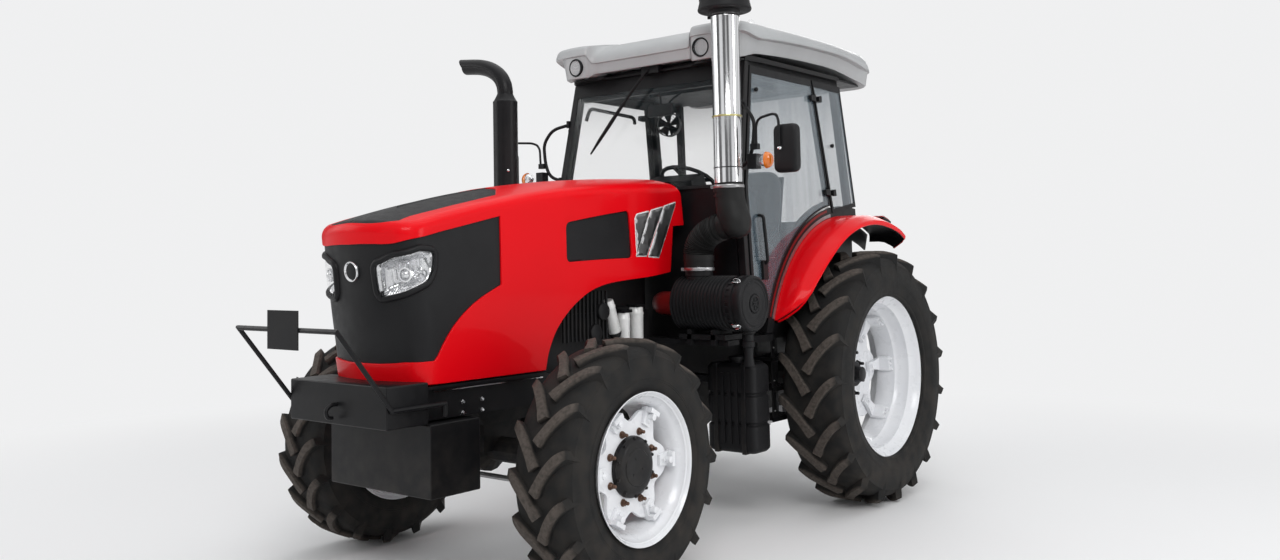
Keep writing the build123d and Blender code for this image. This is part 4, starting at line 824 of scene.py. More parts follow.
def hoodSurface(spots):
    h = hood
    s = np.clip(spots[:, 0], 0, hoodEnd)
    v = spots[:, 1]
    base = np.stack([np.interp(s, hoodChart, hoodLine[:, k]) for k in range(2)], axis=1)
    ahead = np.stack([np.interp(s + 0.004, hoodChart, hoodLine[:, k])
                      - np.interp(s - 0.004, hoodChart, hoodLine[:, k]) for k in range(2)], axis=1)
    ahead /= np.linalg.norm(ahead, axis=1)[:, None]
    out = np.stack([-ahead[:, 1], ahead[:, 0]], axis=1)
    nearNose = np.clip((-2.9 - base[:, 1]) / 0.4, 0, 1)
    lean = h["lean"] * nearNose ** 2 * (3 - 2 * nearNose)

    def wall(z):  # plan place of the skirt at a height
        place = base + out * (-h["tuck"] * ((z - 1.50) / 0.45) ** 2)[:, None]
        place[:, 1] -= lean * (z - h["bottom"])
        return place

    topZ = np.full(len(s), 1.80)
    end = np.full(len(s), 1.15)
    for _ in range(6):  # the height at which the shoulder's arc meets the lid without a kink
        start = -np.arctan(-lean * out[:, 1] - h["tuck"] * 2 * (topZ - 1.50) / 0.45 ** 2)
        edge = wall(topZ) + out * (h["round"] * (np.cos(end) - np.cos(start)))[:, None]
        step = 0.004
        fall = (lidHeight(*(edge - out * step).T) - lidHeight(*(edge + out * step).T)) / (2 * step)
        end = math.pi / 2 - np.arctan(fall)
        topZ = lidHeight(*edge.T) - h["round"] * (np.sin(end) - np.sin(start))
    z = h["bottom"] + (topZ - h["bottom"]) * v / h["skirtSpan"]
    skirt = np.concatenate([wall(z), z[:, None]], axis=1)
    angle = start + (end - start) * np.clip((v - h["skirtSpan"]) / h["roundSpan"], 0, 1)
    turn = np.concatenate([wall(topZ) + out * (h["round"] * (np.cos(angle) - np.cos(start)))[:, None],
                           (topZ + h["round"] * (np.sin(angle) - np.sin(start)))[:, None]], axis=1)
    share = np.clip((v - h["skirtSpan"] - h["roundSpan"]) / h["lidSpan"], 0, 1)[:, None]
    target = np.stack([np.zeros(len(s)), np.maximum(edge[:, 1], h["apex"])], axis=1)
    plan = edge * (1 - share) + target * share
    lid = np.concatenate([plan, lidHeight(*plan.T)[:, None]], axis=1)
    return np.where((v > h["skirtSpan"] + h["roundSpan"])[:, None], lid,
                    np.where((v > h["skirtSpan"])[:, None], turn, skirt))


lidEdge = hood["skirtSpan"] + hood["roundSpan"]
hoodTop = lidEdge + hood["lidSpan"]
gridS, gridV = np.meshgrid(np.linspace(0, hoodEnd, 640), np.linspace(0, hoodTop, 420))
hoodTable = np.stack([gridS.ravel(), gridV.ravel()], axis=1)
hoodPlaces = hoodSurface(hoodTable)


def onHood(points, view):
    # chart spots of places seen from the side (y, z), front (x, z), top (x, y) or all three
    columns = {"side": [1, 2], "front": [0, 2], "top": [0, 1], "all": [0, 1, 2]}[view]
    allowed = {"side": hoodPlaces[:, 0] > 0.22, "front": hoodPlaces[:, 1] < -3.25,
               "top": hoodTable[:, 1] > 0.72, "all": hoodTable[:, 1] > -1}[view]
    allowed = allowed & ((hoodTable[:, 1] < lidEdge + 0.1) | (view in ("top", "all")))
    table, places = hoodTable[allowed], hoodPlaces[allowed][:, columns]
    return np.array([table[np.argmin(((places - p) ** 2).sum(1))] for p in np.asarray(points, float)])


def grown(loop, margin):  # a closed loop moved outwards in its chart
    loop = evenly(loop, 0.01, closed=True)
    along = np.roll(loop, -1, 0) - np.roll(loop, 1, 0)
    along /= np.linalg.norm(along, axis=1)[:, None]
    turn = np.sign(np.sum(loop[:, 0] * np.roll(loop[:, 1], -1) - np.roll(loop[:, 0], -1) * loop[:, 1]))
    return loop + margin * turn * np.stack([along[:, 1], -along[:, 0]], axis=1)


def roundedLoop(corners, radius):  # a closed loop with every corner rounded
    corners = np.asarray(corners, float)
    path = bendPath(np.concatenate([corners[-1:], corners, corners[:1]]), radius, 7)
    return path[1:-1]


archPath = smoothPath(onHood([(-2.525, 1.052), (-2.503, 1.150), (-2.440, 1.262), (-2.353, 1.348),
                              (-2.250, 1.418), (-2.125, 1.472), (-1.95, 1.505), (-1.60, 1.533),
                              (-1.391, 1.556)], "side"), 60)
rearPath = onHood([(-1.350, 1.842), (-1.236, 1.850), (-1.252, 2.040)], "side")
rearTop = onHood([(0.30, -1.32), (0.0, -1.32)], "top")
noseTop = np.concatenate([onHood([(0.0, 1.733), (0.15, 1.732), (0.25, 1.731)], "front"),
                          onHood([(-3.45, 1.750), (-3.30, 1.782), (-3.10, 1.822), (-2.862, 1.872)], "side")])
noseCurve = smoothPath(onHood([(-2.862, 1.520), (-2.985, 1.464), (-3.087, 1.406), (-3.180, 1.334),
                               (-3.245, 1.255), (-3.290, 1.188)], "side"), 30)
noseFoot = np.concatenate([onHood([(-3.312, 1.166)], "side"),
                           onHood([(0.26, 1.160), (0.12, 1.152), (0.0, 1.150)],
                                 "front")])
noseTop[0, 0] = noseFoot[-1, 0] = hoodEnd
noseTopLine = smoothPath(noseTop, 60)
noseLoop = np.concatenate([noseTopLine, noseCurve, noseFoot])
sideInsert = roundedLoop(onHood([(-2.354, 1.846), (-1.786, 1.927), (-1.772, 1.648), (-2.350, 1.628)],
                                "side"), 0.03)
topInsertLine = smoothPath(onHood([(0.0, -3.545), (0.13, -3.535), (0.215, -3.505), (0.258, -3.40),
                                   (0.270, -3.20), (0.272, -3.00), (0.262, -2.80)], "top"), 60)
topInsertLine[0, 0] = hoodEnd
topInsertBack = onHood([(0.12, -2.66), (0.0, -2.62)], "top")
topInsert = np.concatenate([topInsertLine, topInsertBack, [[hoodEnd, hoodTop]]])

# the skin's own outline takes in the nose cut and the top insert, since both reach the middle line
skinLoop = np.concatenate([
    archPath[:1], [[hoodEnd, 0.0]], noseFoot[::-1], noseCurve[::-1], noseTopLine[::-1], topInsertLine,
                           topInsertBack, rearTop[::-1], rearPath[::-1], archPath[:0:-1]])


def hoodPiece(name, part, finishName, thickness=0.0, bevel=0.002, replaced=(), slot=None, smooth=40):
    piece = makePiece(name, bothSides(part), finishName, replaced, slot, "hood", smooth=smooth, merge=True)
    if thickness:
        thicken(piece, thickness, bevel)
    return piece


hoodPiece("hood_skin", panelPart(skinLoop, [sideInsert], hoodSurface, 0.021), "red_paint", 0.014, 0.0035,
          ("hood_shell",))


noseSurface = raised(hoodSurface, -0.010)  # the black nose lies a little back from the skin


def squareLoop(loop):  # a loop whose middle-line points stay on the middle line
    loop = np.array(loop)
    loop[:, 0] = np.minimum(loop[:, 0], hoodEnd)
    return loop


lampLoop = roundedLoop(onHood([(0.160, -3.545, 1.628), (0.262, -3.500, 1.668), (0.338, -3.390, 1.700),
                               (0.352, -3.312, 1.694), (0.356, -3.318, 1.600), (0.352, -3.350, 1.548),
                               (0.300, -3.475, 1.492), (0.200, -3.530, 1.468), (0.172, -3.538, 1.478)],
                              "all"), 0.03)
noseBack = squareLoop(grown(noseLoop, 0.014))
hoodPiece("nose_panel", panelPart(noseBack, [lampLoop], noseSurface, 0.022), "black_plastic", 0.006, 0.0015,
          ("grille_panels",))


def insertDepth(spots):  # a low rounded line runs along the side insert
    places = hoodSurface(spots)
    return -0.013 + 0.003 * np.exp(-((places[:, 2] - 1.80 - 0.06 * (places[:, 1] + 1.8)) / 0.02) ** 2)


hoodPiece("side_insert", panelPart(grown(sideInsert, 0.012), [], raised(hoodSurface, insertDepth), 0.02),
          "black_plastic", 0.004, 0)
hoodPiece("top_insert", panelPart(squareLoop(grown(topInsert, 0.012)), [], raised(hoodSurface, -0.007),
                                  0.022), "black_plastic", 0.004, 0)


# Head lamps: a chrome bowl behind a clear cover, in a thick black surround

def lampBowl(spots):
    edge = np.sqrt(((spots[:, None] - lampDense[None]) ** 2).sum(-1).min(1))
    depth = 0.012 + 0.055 * (1 - np.exp(-(edge / 0.028) ** 2))
    flute = 0.003 * np.cos(spots[:, 0] * 220) * np.clip(edge / 0.02, 0, 1)
    return hoodSurface(spots) - (depth + flute)[:, None] * chartNormal(hoodSurface, spots)


lampDense = evenly(lampLoop, 0.006, closed=True)
hoodPiece("lamp_bowls", panelPart(lampLoop, [], lampBowl, 0.007), "bright_steel", 0, 0, ("headlamps",),
          smooth=30)


def coverDepth(spots):  # the cover swells away from its rim
    edge = ((spots[:, None] - lampDense[None]) ** 2).sum(-1).min(1)
    return -0.008 + 0.006 * (1 - np.exp(-edge / 0.02 ** 2))


hoodPiece("lamp_covers", panelPart(lampLoop, [], raised(hoodSurface, coverDepth), 0.014), "lamp_lens", 0.002,
          0)
surround = [(-0.004, -0.016), (-0.003, 0.004), (0.002, 0.008), (0.014, 0.008), (0.022, 0.003),
            (0.028, -0.008), (0.028, -0.016)]
hoodPiece("lamp_surrounds", edging(lampLoop, surround, hoodSurface), "black_plastic")
lampMiddle = hoodSurface(onHood([(0.300, -3.46, 1.580)], "all"))[0]
lampAim = chartNormal(hoodSurface, onHood([(0.270, -3.49, 1.580)], "all"))[0]
projector = lathe([(-0.050, 0.030), (-0.022, 0.036), (-0.018, 0.036), (-0.018, 0.028), (-0.030, 0.026),
                   (-0.012, 0.018), (-0.006, 0.008), (-0.005, 0.0)], 32, closed=False)
turnLamp = np.array(Vector(lampAim).to_track_quat("X", "Z").to_matrix())
hoodPiece("lamp_projectors", (projector[0] @ turnLamp.T + lampMiddle, projector[1]), "bright_steel")

# Slanted silver stripes with a pale border, and the plain round boss on the nose
stripes = [[(-1.716, 1.905), (-1.594, 1.926), (-1.722, 1.675), (-1.728, 1.700), (-1.732, 1.880)],
           [(-1.576, 1.931), (-1.456, 1.954), (-1.634, 1.659), (-1.732, 1.659)],
           [(-1.438, 1.959), (-1.316, 1.990), (-1.509, 1.653), (-1.614, 1.657)]]
stripeLoops = [onHood(corners, "side") for corners in stripes]
hoodPiece("stripes", joinParts([panelPart(loop, [], raised(hoodSurface, 0.0016),
                                          0.02) for loop in stripeLoops]), "bare_steel", 0.0008, 0,
          slot="bright_steel")
hoodPiece("stripe_borders", joinParts([panelPart(grown(loop, 0.006), [], raised(hoodSurface, 0.0009),
                                                 0.02) for loop in stripeLoops]), "stripe_white", 0.0008, 0,
          slot="white_paint")
bossSpot = np.array([[hoodEnd - 0.001, onHood([(0.0, 1.600)], "front")[0, 1]]])
bossAt = noseSurface(bossSpot)[0] * [0, 1, 1]
bossTurn = np.array(Vector((0, -1, -hood["lean"])).to_track_quat("X", "Z").to_matrix())
for name, profile, slotName in (("ring", [(0.0, 0.040), (0.0, 0.052), (0.009, 0.052), (0.013, 0.049),
                                          (0.013, 0.045), (0.007, 0.040)], "bright_steel"),
                                ("face", [(-0.002, 0.0), (-0.002, 0.042), (0.006, 0.042), (0.008, 0.036),
                                          (0.009, 0.0)],
                                 "black_plastic")):
    part = lathe(profile, 48, closed=name == "ring")
    makePiece("nose_boss_" + name, (part[0] @ bossTurn.T + bossAt, part[1]), slotName, body="hood")
print("hood made")

# Roof: rings round the cab's plan, from the underside over the fascia, the side lip and the shoulder to the
# top

roof = dict(half=0.826, front=-1.262, back=0.578, setBack=0.070, stepX=(0.400, 0.440), innerX=0.34,
            innerY=(-0.72, 0.10), peak=-0.10, lip=3.052, crest=3.160, samples=480)


def roofPlan():  # corner points of the near half, front to back, mirrored and sampled evenly
    r = roof
    right = [(0.0, r["front"] + r["setBack"]), (r["stepX"][0], r["front"] + r["setBack"] - 0.004),
             (r["stepX"][1], r["front"] + 0.004), (0.60, r["front"]), (0.715, r["front"] + 0.030),
             (0.790, r["front"] + 0.120), (0.818, r["front"] + 0.30), (r["half"], -0.50), (r["half"], 0.10),
             (0.816, r["back"] - 0.10), (0.790, r["back"] - 0.030), (0.70, r["back"] - 0.004),
             (0.0, r["back"])]
    line = bendPath([(x, y, 0) for x, y in right], 0.05, 6)[:, :2]
    whole = np.concatenate([line, (line * [-1, 1])[::-1][1:-1]])
    return np.array(evenly(whole, 6.2 / roof["samples"], closed=True))


def blendStep(value, low, high):  # 0 below low, 1 above high, smooth between
    t = np.clip((value - low) / (high - low), 0, 1)
    return t * t * (3 - 2 * t)


def roofRings():
    r = roof
    plan = roofPlan()
    x, y = plan.T
    inner = np.stack([np.clip(x, -r["innerX"], r["innerX"]), np.clip(y, *r["innerY"])], axis=1)
    reach = np.linalg.norm(inner - plan, axis=1)
    nose = blendStep(-y, 0.98, 1.19)                       # the front face
    middle = nose * (1 - blendStep(np.abs(x), *r["stepX"]))  # its set-back middle
    tail = blendStep(y, 0.38, 0.52)
    side = (1 - nose) * (1 - tail)
    ahead, behind = np.minimum(y - r["peak"], 0) / 1.15, np.maximum(y - r["peak"], 0) / 0.62
    lip = r["lip"] - 0.052 * ahead ** 2 - 0.060 * behind ** 2
    low = lip - 0.092 - 0.022 * nose - 0.02 * tail + 0.022 * middle
    lip = lip + 0.050 * nose * (1 - middle) - 0.010 * middle
    rise = r["crest"] - lip
    under = 0.080 * side + nose * (0.022 + 0.075 * blendStep(np.abs(x), 0.60, 0.76)) + 0.03 * tail
    full = 0.155 - 0.11 * nose + 0.34 * middle             # how far in the shoulder ends
    levels = [(0.16 + 0 * x, low + 0.020), (under + 0.020, low + 0.004), (under + 0.004, low),
              (under, low + 0.005), (under * 0.75, (low + lip) / 2), (under * 0.5, lip - 0.016),
              (0.004 * side, lip - 0.012), (0 * x, lip - 0.007), (0 * x, lip + 0.004)]
    top = 0.80 - 0.26 * nose * (1 - middle) + 0.15 * middle
    for a in np.linspace(0.12, 1, 9) * math.pi / 2:
        levels.append((full * (1 - np.cos(a)) + 0.004, lip + 0.006 + (rise * top - 0.006) * np.sin(a)))
    last = levels[-1][0]
    for share in (0.25, 0.5, 0.75, 1.0):
        levels.append((last + (reach - last) * share, r["crest"] - rise * (1 - top) * (1 - share) ** 1.8))
    rings = []
    for inset, z in levels:
        spot = plan + (inner - plan) * np.clip(inset / reach, 0, 1)[:, None]
        rings.append(np.concatenate([spot, np.broadcast_to(z, x.shape)[:, None]], axis=1))
    return gridPart(np.stack(rings), closeColumns=True, capRows=True)


makePiece("roof_cap", roofRings(), "grey_plastic", ("roof",), smooth=28)


def ledLamp(at, turnBy):
    # black bezel, chrome dish with rays, clear cover; made along X and then turned and placed
    turnBy = np.array(turnBy)
    bezel = lathe([(-0.055, 0.040), (-0.055, 0.058), (-0.006, 0.062), (0.004, 0.060), (0.006, 0.053),
                   (-0.004, 0.050), (-0.012, 0.046), (-0.030, 0.040)], 40)
    angle = np.linspace(0, 2 * math.pi, 48, endpoint=False)
    radius = np.array([0.0485, 0.036, 0.024, 0.012, 0.002])
    depth = np.array([-0.010, -0.022, -0.018, -0.024, -0.014])
    wave = 0.004 * np.cos(8 * angle)[:, None] * np.array([0, 1, 1, 1, 0])[None]
    dish = np.stack([depth[None] + wave, radius[None] * np.cos(angle)[:, None],
                     radius[None] * np.sin(angle)[:, None]],
                    axis=-1)
    glass = lathe([(-0.006, 0.0505), (-0.002, 0.050), (0.001, 0.036), (0.002, 0.0)], 32, closed=False)
    parts = {"black_plastic": bezel, "bright_steel": gridPart(dish, closeRows=True), "lamp_lens": glass}
    return {slotName: (part[0] @ turnBy.T + at, part[1]) for slotName, part in parts.items()}


lampPlaces = [((side * x, y, 2.960), (side * lean, ahead, -0.06)) for side in (1, -1)
              for x, y, lean, ahead in ((0.520, -1.248, 0.10, -1), (0.515, 0.556, 0.0, 1))]
lampParts = [ledLamp(np.array(spot), Vector(aim).to_track_quat("X", "Z").to_matrix()) for spot,
             aim in lampPlaces]
for slotName in lampParts[0]:
    makePiece("work_lamp_" + slotName, joinParts([parts[slotName] for parts in lampParts]), slotName,
              ("work_lamps",) if slotName == "black_plastic" else (), smooth=30)

beacon = dict(spot=(0.560, -0.715, 3.138))
beaconBase = lathe([(0.0, 0.0), (0.0, 0.050), (0.016, 0.052), (0.026, 0.044), (0.030, 0.036), (0.030, 0.0)],
                   32, closed=False, axis="Z", at=beacon["spot"])
beaconDome = lathe([(0.030, 0.030), (0.050, 0.030), (0.062, 0.027), (0.072, 0.019), (0.078, 0.008),
                    (0.079, 0.0)], 32,
                   closed=False, axis="Z", at=beacon["spot"])
beaconCore = lathe([(0.030, 0.010), (0.046, 0.016), (0.058, 0.010), (0.060, 0.0)], 16, closed=False,
                   axis="Z", at=beacon["spot"])
makePiece("beacon_base", beaconBase, "black_plastic", ("signal_lamps",))
makePiece("beacon_dome", beaconDome, "lamp_lens")
makePiece("beacon_core", beaconCore, "bright_steel")

# Wiper: a bent arm from its shaft under the roof's front edge, and the blade along the glass
wiperArm = tube(bendPath([(0.03, -1.100, 2.900), (0.0, -1.130, 2.890), (-0.13, -1.150, 2.740),
                          (-0.27, -1.172, 2.575)], 0.03),
                0.009, 10)
wiperBlade = tube([(-0.08, -1.142, 2.80), (-0.18, -1.160, 2.68), (-0.27, -1.178, 2.565),
                   (-0.36, -1.196, 2.45), (-0.43, -1.208, 2.360)], [0.006, 0.012, 0.014, 0.012, 0.006], 10)
wiperMotor = box((-0.05, -1.120, 2.872), (0.09, -1.060, 2.925))
makePiece("wiper", [wiperArm, wiperBlade, wiperMotor], "black_plastic")
print("roof made")

# Air intake: the polished pipe with its clamps, the rubber hose below it, the cleaner that lies across, the
# bowl on top

materials["oxide_hose"] = finish("oxide_hose_finish", (0.17, 0.006, 0.006), (0.10, 0.004, 0.004), 0.4,
                                 specular=0.3, blotch=9, grainDepth=0.1)
materials["brass_band"] = finish("brass_band_finish", (0.58, 0.52, 0.24), (0.40, 0.36, 0.18), 0.3, metal=1.0,
                                 blotch=14)

pipeY = -1.377  # the intake, the cleaner and their hoses stand in one plane
intake = dict(spot=(0.790, pipeY), inlet=(0.563, pipeY), ribs=25)
cleaner = dict(spot=(0, pipeY, 1.368), left=0.440, ribsEnd=0.829, body=0.156, rib=0.166,
               count=15)


def clampBand(spot, z, radius, width, facing=205):  # a thin band with its screw in a small block
    at = (*spot, 0)
    h = width / 2
    band = lathe([(z - h, radius - 0.001), (z - h, radius + 0.0015), (z - 0.6 * h, radius + 0.0028),
                  (z + 0.6 * h, radius + 0.0028), (z + h, radius + 0.0015), (z + h, radius - 0.001)], 64,
                 axis="Z", at=at)
    block = box((radius, -0.014, z - h * 0.9), (radius + 0.016, 0.014, z + h * 0.9))
    screw = lathe([(-0.024, 0.0), (-0.024, 0.005), (-0.018, 0.0065), (0.020, 0.0065), (0.024, 0.004),
                   (0.024, 0.0)], 8,
                  closed=False, axis="Y", at=(radius + 0.010, 0, z))
    return joinParts([band, moved(turned(joinParts([block, screw]), "Z", facing), at)])


def atPipe(rows):  # hose knots from X, Z and radius
    return [(x, pipeY, z, radius) for x, z, radius in rows]


def hosePart(knots, ribs, span, depth, sides=56, count=300):
    # a smooth path through the knots (place and radius), with even ribs between two shares of its length
    line = smoothPath(knots, count)
    run = np.concatenate([[0], np.cumsum(np.linalg.norm(np.diff(line[:, :3], axis=0), axis=1))])
    share = (run / run[-1] - span[0]) / (span[1] - span[0])
    wave = np.where((share > 0) & (share < 1), np.abs(np.sin(np.pi * ribs * share)) - 0.5, 0)
    return tube(line[:, :3], line[:, 3] + depth * wave, sides)


def cleanerLine():  # turned outline of the cleaner: fine ribs, a collar, then the cap with its rings and hub
    c = cleaner
    pitch = (c["ribsEnd"] - c["left"] - 0.012) / c["count"]
    line = [(c["left"], 0.0), (c["left"], 0.128), (c["left"] + 0.006, 0.150)]
    for n in range(c["count"]):
        x = c["left"] + 0.012 + n * pitch
        line += [(x, c["body"]), (x + 0.004, c["rib"] - 0.001), (x + 0.009, c["rib"] - 0.001),
                 (x + 0.013, c["body"])]
    line += [(c["ribsEnd"], 0.160), (0.843, 0.162), (0.846, 0.156), (0.868, 0.156), (0.870, 0.165),
             (0.884, 0.165), (0.887, 0.158), (0.896, 0.158), (0.900, 0.164), (0.905, 0.166), (0.938, 0.166),
             (0.947, 0.1635), (0.953, 0.158), (0.955, 0.151), (0.953, 0.146), (0.948, 0.143), (0.947, 0.134),
             (0.951, 0.130), (0.952, 0.124), (0.949, 0.121), (0.950, 0.086), (0.952, 0.082), (0.950, 0.060),
             (0.946, 0.056), (0.946, 0.053), (0.954, 0.051), (0.956, 0.046), (0.956, 0.040), (0.950, 0.037),
             (0.948, 0.0)]
    return line


def cleanerParts():
    c = cleaner
    x, y = intake["inlet"]
    teeth = repeatRound(box((0.846, -0.007, 0.150), (0.868, 0.007, 0.1635)), 26)
    spokes = repeatRound(box((0.947, -0.004, 0.004), (0.953, 0.004, 0.038)), 6)
    body = moved(joinParts([lathe(cleanerLine(), 112, closed=False), teeth, spokes]), c["spot"])
    stub = lathe([(1.36, 0.0), (1.36, 0.080), (1.528, 0.080), (1.532, 0.084), (1.562, 0.084), (1.562, 0.0)],
                 56, closed=False, axis="Z", at=(x, y, 0))
    valve = lathe([(1.225, 0.0), (1.225, 0.042), (1.196, 0.042), (1.188, 0.031), (1.150, 0.030),
                   (1.146, 0.037), (1.118, 0.037), (1.112, 0.029), (1.060, 0.026), (1.012, 0.033),
                   (1.004, 0.032), (1.004, 0.0)], 32,
                  closed=False, axis="Z", at=(0.902, c["spot"][1], 0))
    cradle = [box((0.47, -1.470, 1.155), (0.80, -1.285, 1.185)),
              box((0.53, -1.470, 1.120), (0.56, -1.285, 1.215)),
              box((0.70, -1.470, 1.120), (0.73, -1.285, 1.215)),
              box((0.20, -1.437, 1.120), (0.80, -1.317, 1.150))]
    return joinParts([body, stub, valve, *cradle])


def wireClip():  # bent wire over a flat lever, made on top of the cap
    loop = bendPath([(0.866, -0.015, 0.160), (0.872, -0.017, 0.172), (0.888, -0.017, 0.181),
                     (0.914, -0.014, 0.176), (0.926, 0.0, 0.168), (0.914, 0.014, 0.176),
                     (0.888, 0.017, 0.181), (0.872, 0.017, 0.172), (0.866, 0.015, 0.160)], 0.006, 4)
    return joinParts([tube(loop, 0.0026, 8), box((0.872, -0.010, 0.160), (0.912, 0.010, 0.1735))])


pipeParts = lathe([(2.070, 0.0815), (2.070, 0.0855), (2.468, 0.0855), (2.476, 0.0870), (2.488, 0.0870),
                   (2.494, 0.0850), (3.070, 0.0850), (3.076, 0.0865), (3.086, 0.0865), (3.092, 0.0850),
                   (3.122, 0.0850), (3.122, 0.0815)], 96, axis="Z", at=(*intake["spot"], 0))
makePiece("intake_pipe_steel", pipeParts, "bright_steel", ("intake_pipe",))
makePiece("intake_clamp_bands", [clampBand(intake["spot"], 2.062, 0.0905, 0.020),
                                 clampBand(intake["inlet"], 1.573, 0.0915, 0.020)], "bare_steel")
makePiece("intake_pipe_band", clampBand(intake["spot"], 2.482, 0.0872, 0.012, 150), "brass_band",
          slot="bright_steel")
sealRings = [lathe([(z - 0.003, radius), (z - 0.003, radius + 0.003), (z + 0.003, radius + 0.003),
                    (z + 0.003, radius)],
                   64, axis="Z", at=(*intake["spot"], 0)) for z,
             radius in ((3.088, 0.0860), (2.080, 0.0870), (2.175, 0.0845))]
clampEar = moved(turned(box((0.088, -0.006, 3.080), (0.104, 0.006, 3.096)), "Z", 205), (*intake["spot"], 0))

hose = hosePart(atPipe([(0.563, 1.560, 0.0905), (0.5625, 1.600, 0.0900), (0.561, 1.655, 0.0895),
                        (0.574, 1.720, 0.0850), (0.624, 1.780, 0.0815), (0.700, 1.815, 0.0790),
                        (0.775, 1.832, 0.0790), (0.815, 1.838, 0.070)]), intake["ribs"], (0.24, 0.82), 0.011)
hoseHead = hosePart(atPipe([(0.794, 2.084, 0.0875), (0.796, 2.030, 0.0885), (0.801, 1.965, 0.0905),
                            (0.814, 1.905, 0.0950), (0.828, 1.860, 0.0965), (0.835, 1.815, 0.0905),
                            (0.836, 1.785, 0.0760), (0.836, 1.764, 0.0520), (0.836, 1.752, 0.0200)]), 1,
                    (2, 3), 0, count=90)
cuffs = [lathe([(z - h, r - 0.004), (z - h, r), (z + h, r), (z + h, r - 0.004)], 64, axis="Z", at=(*spot, 0))
         for spot, z, h, r in ((intake["spot"], 2.040, 0.010, 0.0915),
                               (intake["spot"], 2.006, 0.006, 0.0915),
                               (intake["inlet"], 1.640, 0.018, 0.0935),
                               (intake["inlet"], 1.600, 0.008, 0.0915))]
makePiece("intake_hose", [hose, hoseHead, *cuffs, *sealRings, clampEar], "hose_rubber", ("intake_elbow",),
          smooth=50)

bowlAt = (*intake["spot"], 0)
bowl = lathe([(3.100, 0.0), (3.100, 0.088), (3.119, 0.092), (3.122, 0.120), (3.120, 0.150), (3.122, 0.159),
              (3.130, 0.1625), (3.140, 0.1600), (3.172, 0.1520), (3.186, 0.1505), (3.189, 0.1530),
              (3.195, 0.1530), (3.198, 0.1500), (3.206, 0.1495), (3.208, 0.1440), (3.282, 0.1440),
              (3.284, 0.1500), (3.292, 0.1560), (3.301, 0.1560), (3.316, 0.1400), (3.325, 0.1050),
              (3.329, 0.0500), (3.330, 0.0)], 96, closed=False,
             axis="Z", at=bowlAt)
vanes = joinParts([turned(box((0.141, -0.003, 3.207), (0.1505, 0.003, 3.284)), "Z",
                          n * 9) for n in range(40)])
clips = [moved(turned(wireClip(), "X", angle), cleaner["spot"]) for angle in (40, 137, 220, 317)]
makePiece("air_cleaner", [cleanerParts(), bowl, moved(vanes, bowlAt)], "black_plastic", ("air_cleaners",),
          smooth=32)
makePiece("cleaner_clips", joinParts(clips), "bright_steel")
redHose = hosePart([(0.455, pipeY, 1.366, 0.070), (0.38, pipeY, 1.366, 0.070),
                    (0.30, -1.365, 1.364, 0.072), (0.245, -1.315, 1.360, 0.072),
                    (0.230, -1.24, 1.350, 0.068), (0.228, -1.175, 1.345, 0.066)], 1,
                   (2, 3), 0, count=60)
makePiece("cleaner_outlet_hose", redHose, "oxide_hose", slot="hose_rubber")
print("intake made")

# Exhaust: muffler with a coned shoulder, a swept outlet with a seam and a slanted mouth

exhaust = dict(spot=(-0.475, -1.980), pipe=0.050, wall=0.004, slant=0.95)


def mouthPipe(path, radius, wall, slant, sides=48):
    # an open pipe: outer skin, slanted mouth, inner skin part way back
    tangent, side, up = pathFrames(path)
    angle = np.linspace(0, 2 * math.pi, sides, endpoint=False)
    ring = side[:, None] * np.cos(angle)[None, :, None] + up[:, None] * np.sin(angle)[None, :, None]
    outer, inner = path[:, None] + radius * ring, path[:, None] + (radius - wall) * ring
    for skin, r in ((outer, radius), (inner, radius - wall)):
        skin[-1] += tangent[-1] * (slant * r * ring[-1][:, 2:3])
    return gridPart(np.concatenate([outer, inner[:len(path) // 2:-1]]), closeColumns=True, capRows=True)


ex, ey = exhaust["spot"]
outletPath = smoothPath([(ex, ey, 2.660), (ex, ey, 2.715), (ex - 0.012, ey, 2.762), (ex - 0.040, ey, 2.805),
                         (ex - 0.085, ey, 2.842), (ex - 0.145, ey, 2.872), (ex - 0.215, ey, 2.892),
                         (ex - 0.285, ey, 2.903), (ex - 0.355, ey, 2.911)], 60)
muffler = lathe([(2.028, 0.0), (2.028, 0.046), (2.034, 0.048), (2.052, 0.068), (2.060, 0.0745),
                 (2.066, 0.0775), (2.072, 0.0785), (2.080, 0.0775), (2.632, 0.0775), (2.638, 0.0785),
                 (2.645, 0.0780), (2.650, 0.0740), (2.655, 0.0700), (2.688, 0.0530), (2.692, 0.0520),
                 (2.694, 0.0)], 80, closed=False, axis="Z",
                at=(ex, ey, 0))
feedPath = bendPath([(-0.190, ey, 1.410), (ex, ey, 1.410), (ex, ey, 2.035)], 0.11, 10)
seams = [tube(outletPath[4:-1] + np.array([0, side * exhaust["pipe"] * 0.985, 0.0]), 0.0032,
              8) for side in (1, -1)]
makePiece("exhaust_pipe", [mouthPipe(outletPath, exhaust["pipe"], exhaust["wall"], exhaust["slant"]),
                           muffler, tube(feedPath, 0.046, 32), *seams], "black_paint", ("exhaust_stack",),
          smooth=34)
makePiece("exhaust_bolt", moved(turned(bolt(0.014, 0.010, (0.0775, 0, 2.205)), "Z", -35), (ex, ey, 0)),
          "bright_steel")
print("exhaust made")

# Mirrors and turn lamps, left side first and then mirrored

mirror = dict(centre=(1.138, 2.2725), half=(0.078, 0.1425), corner=0.040, y=(-1.318, -1.258))


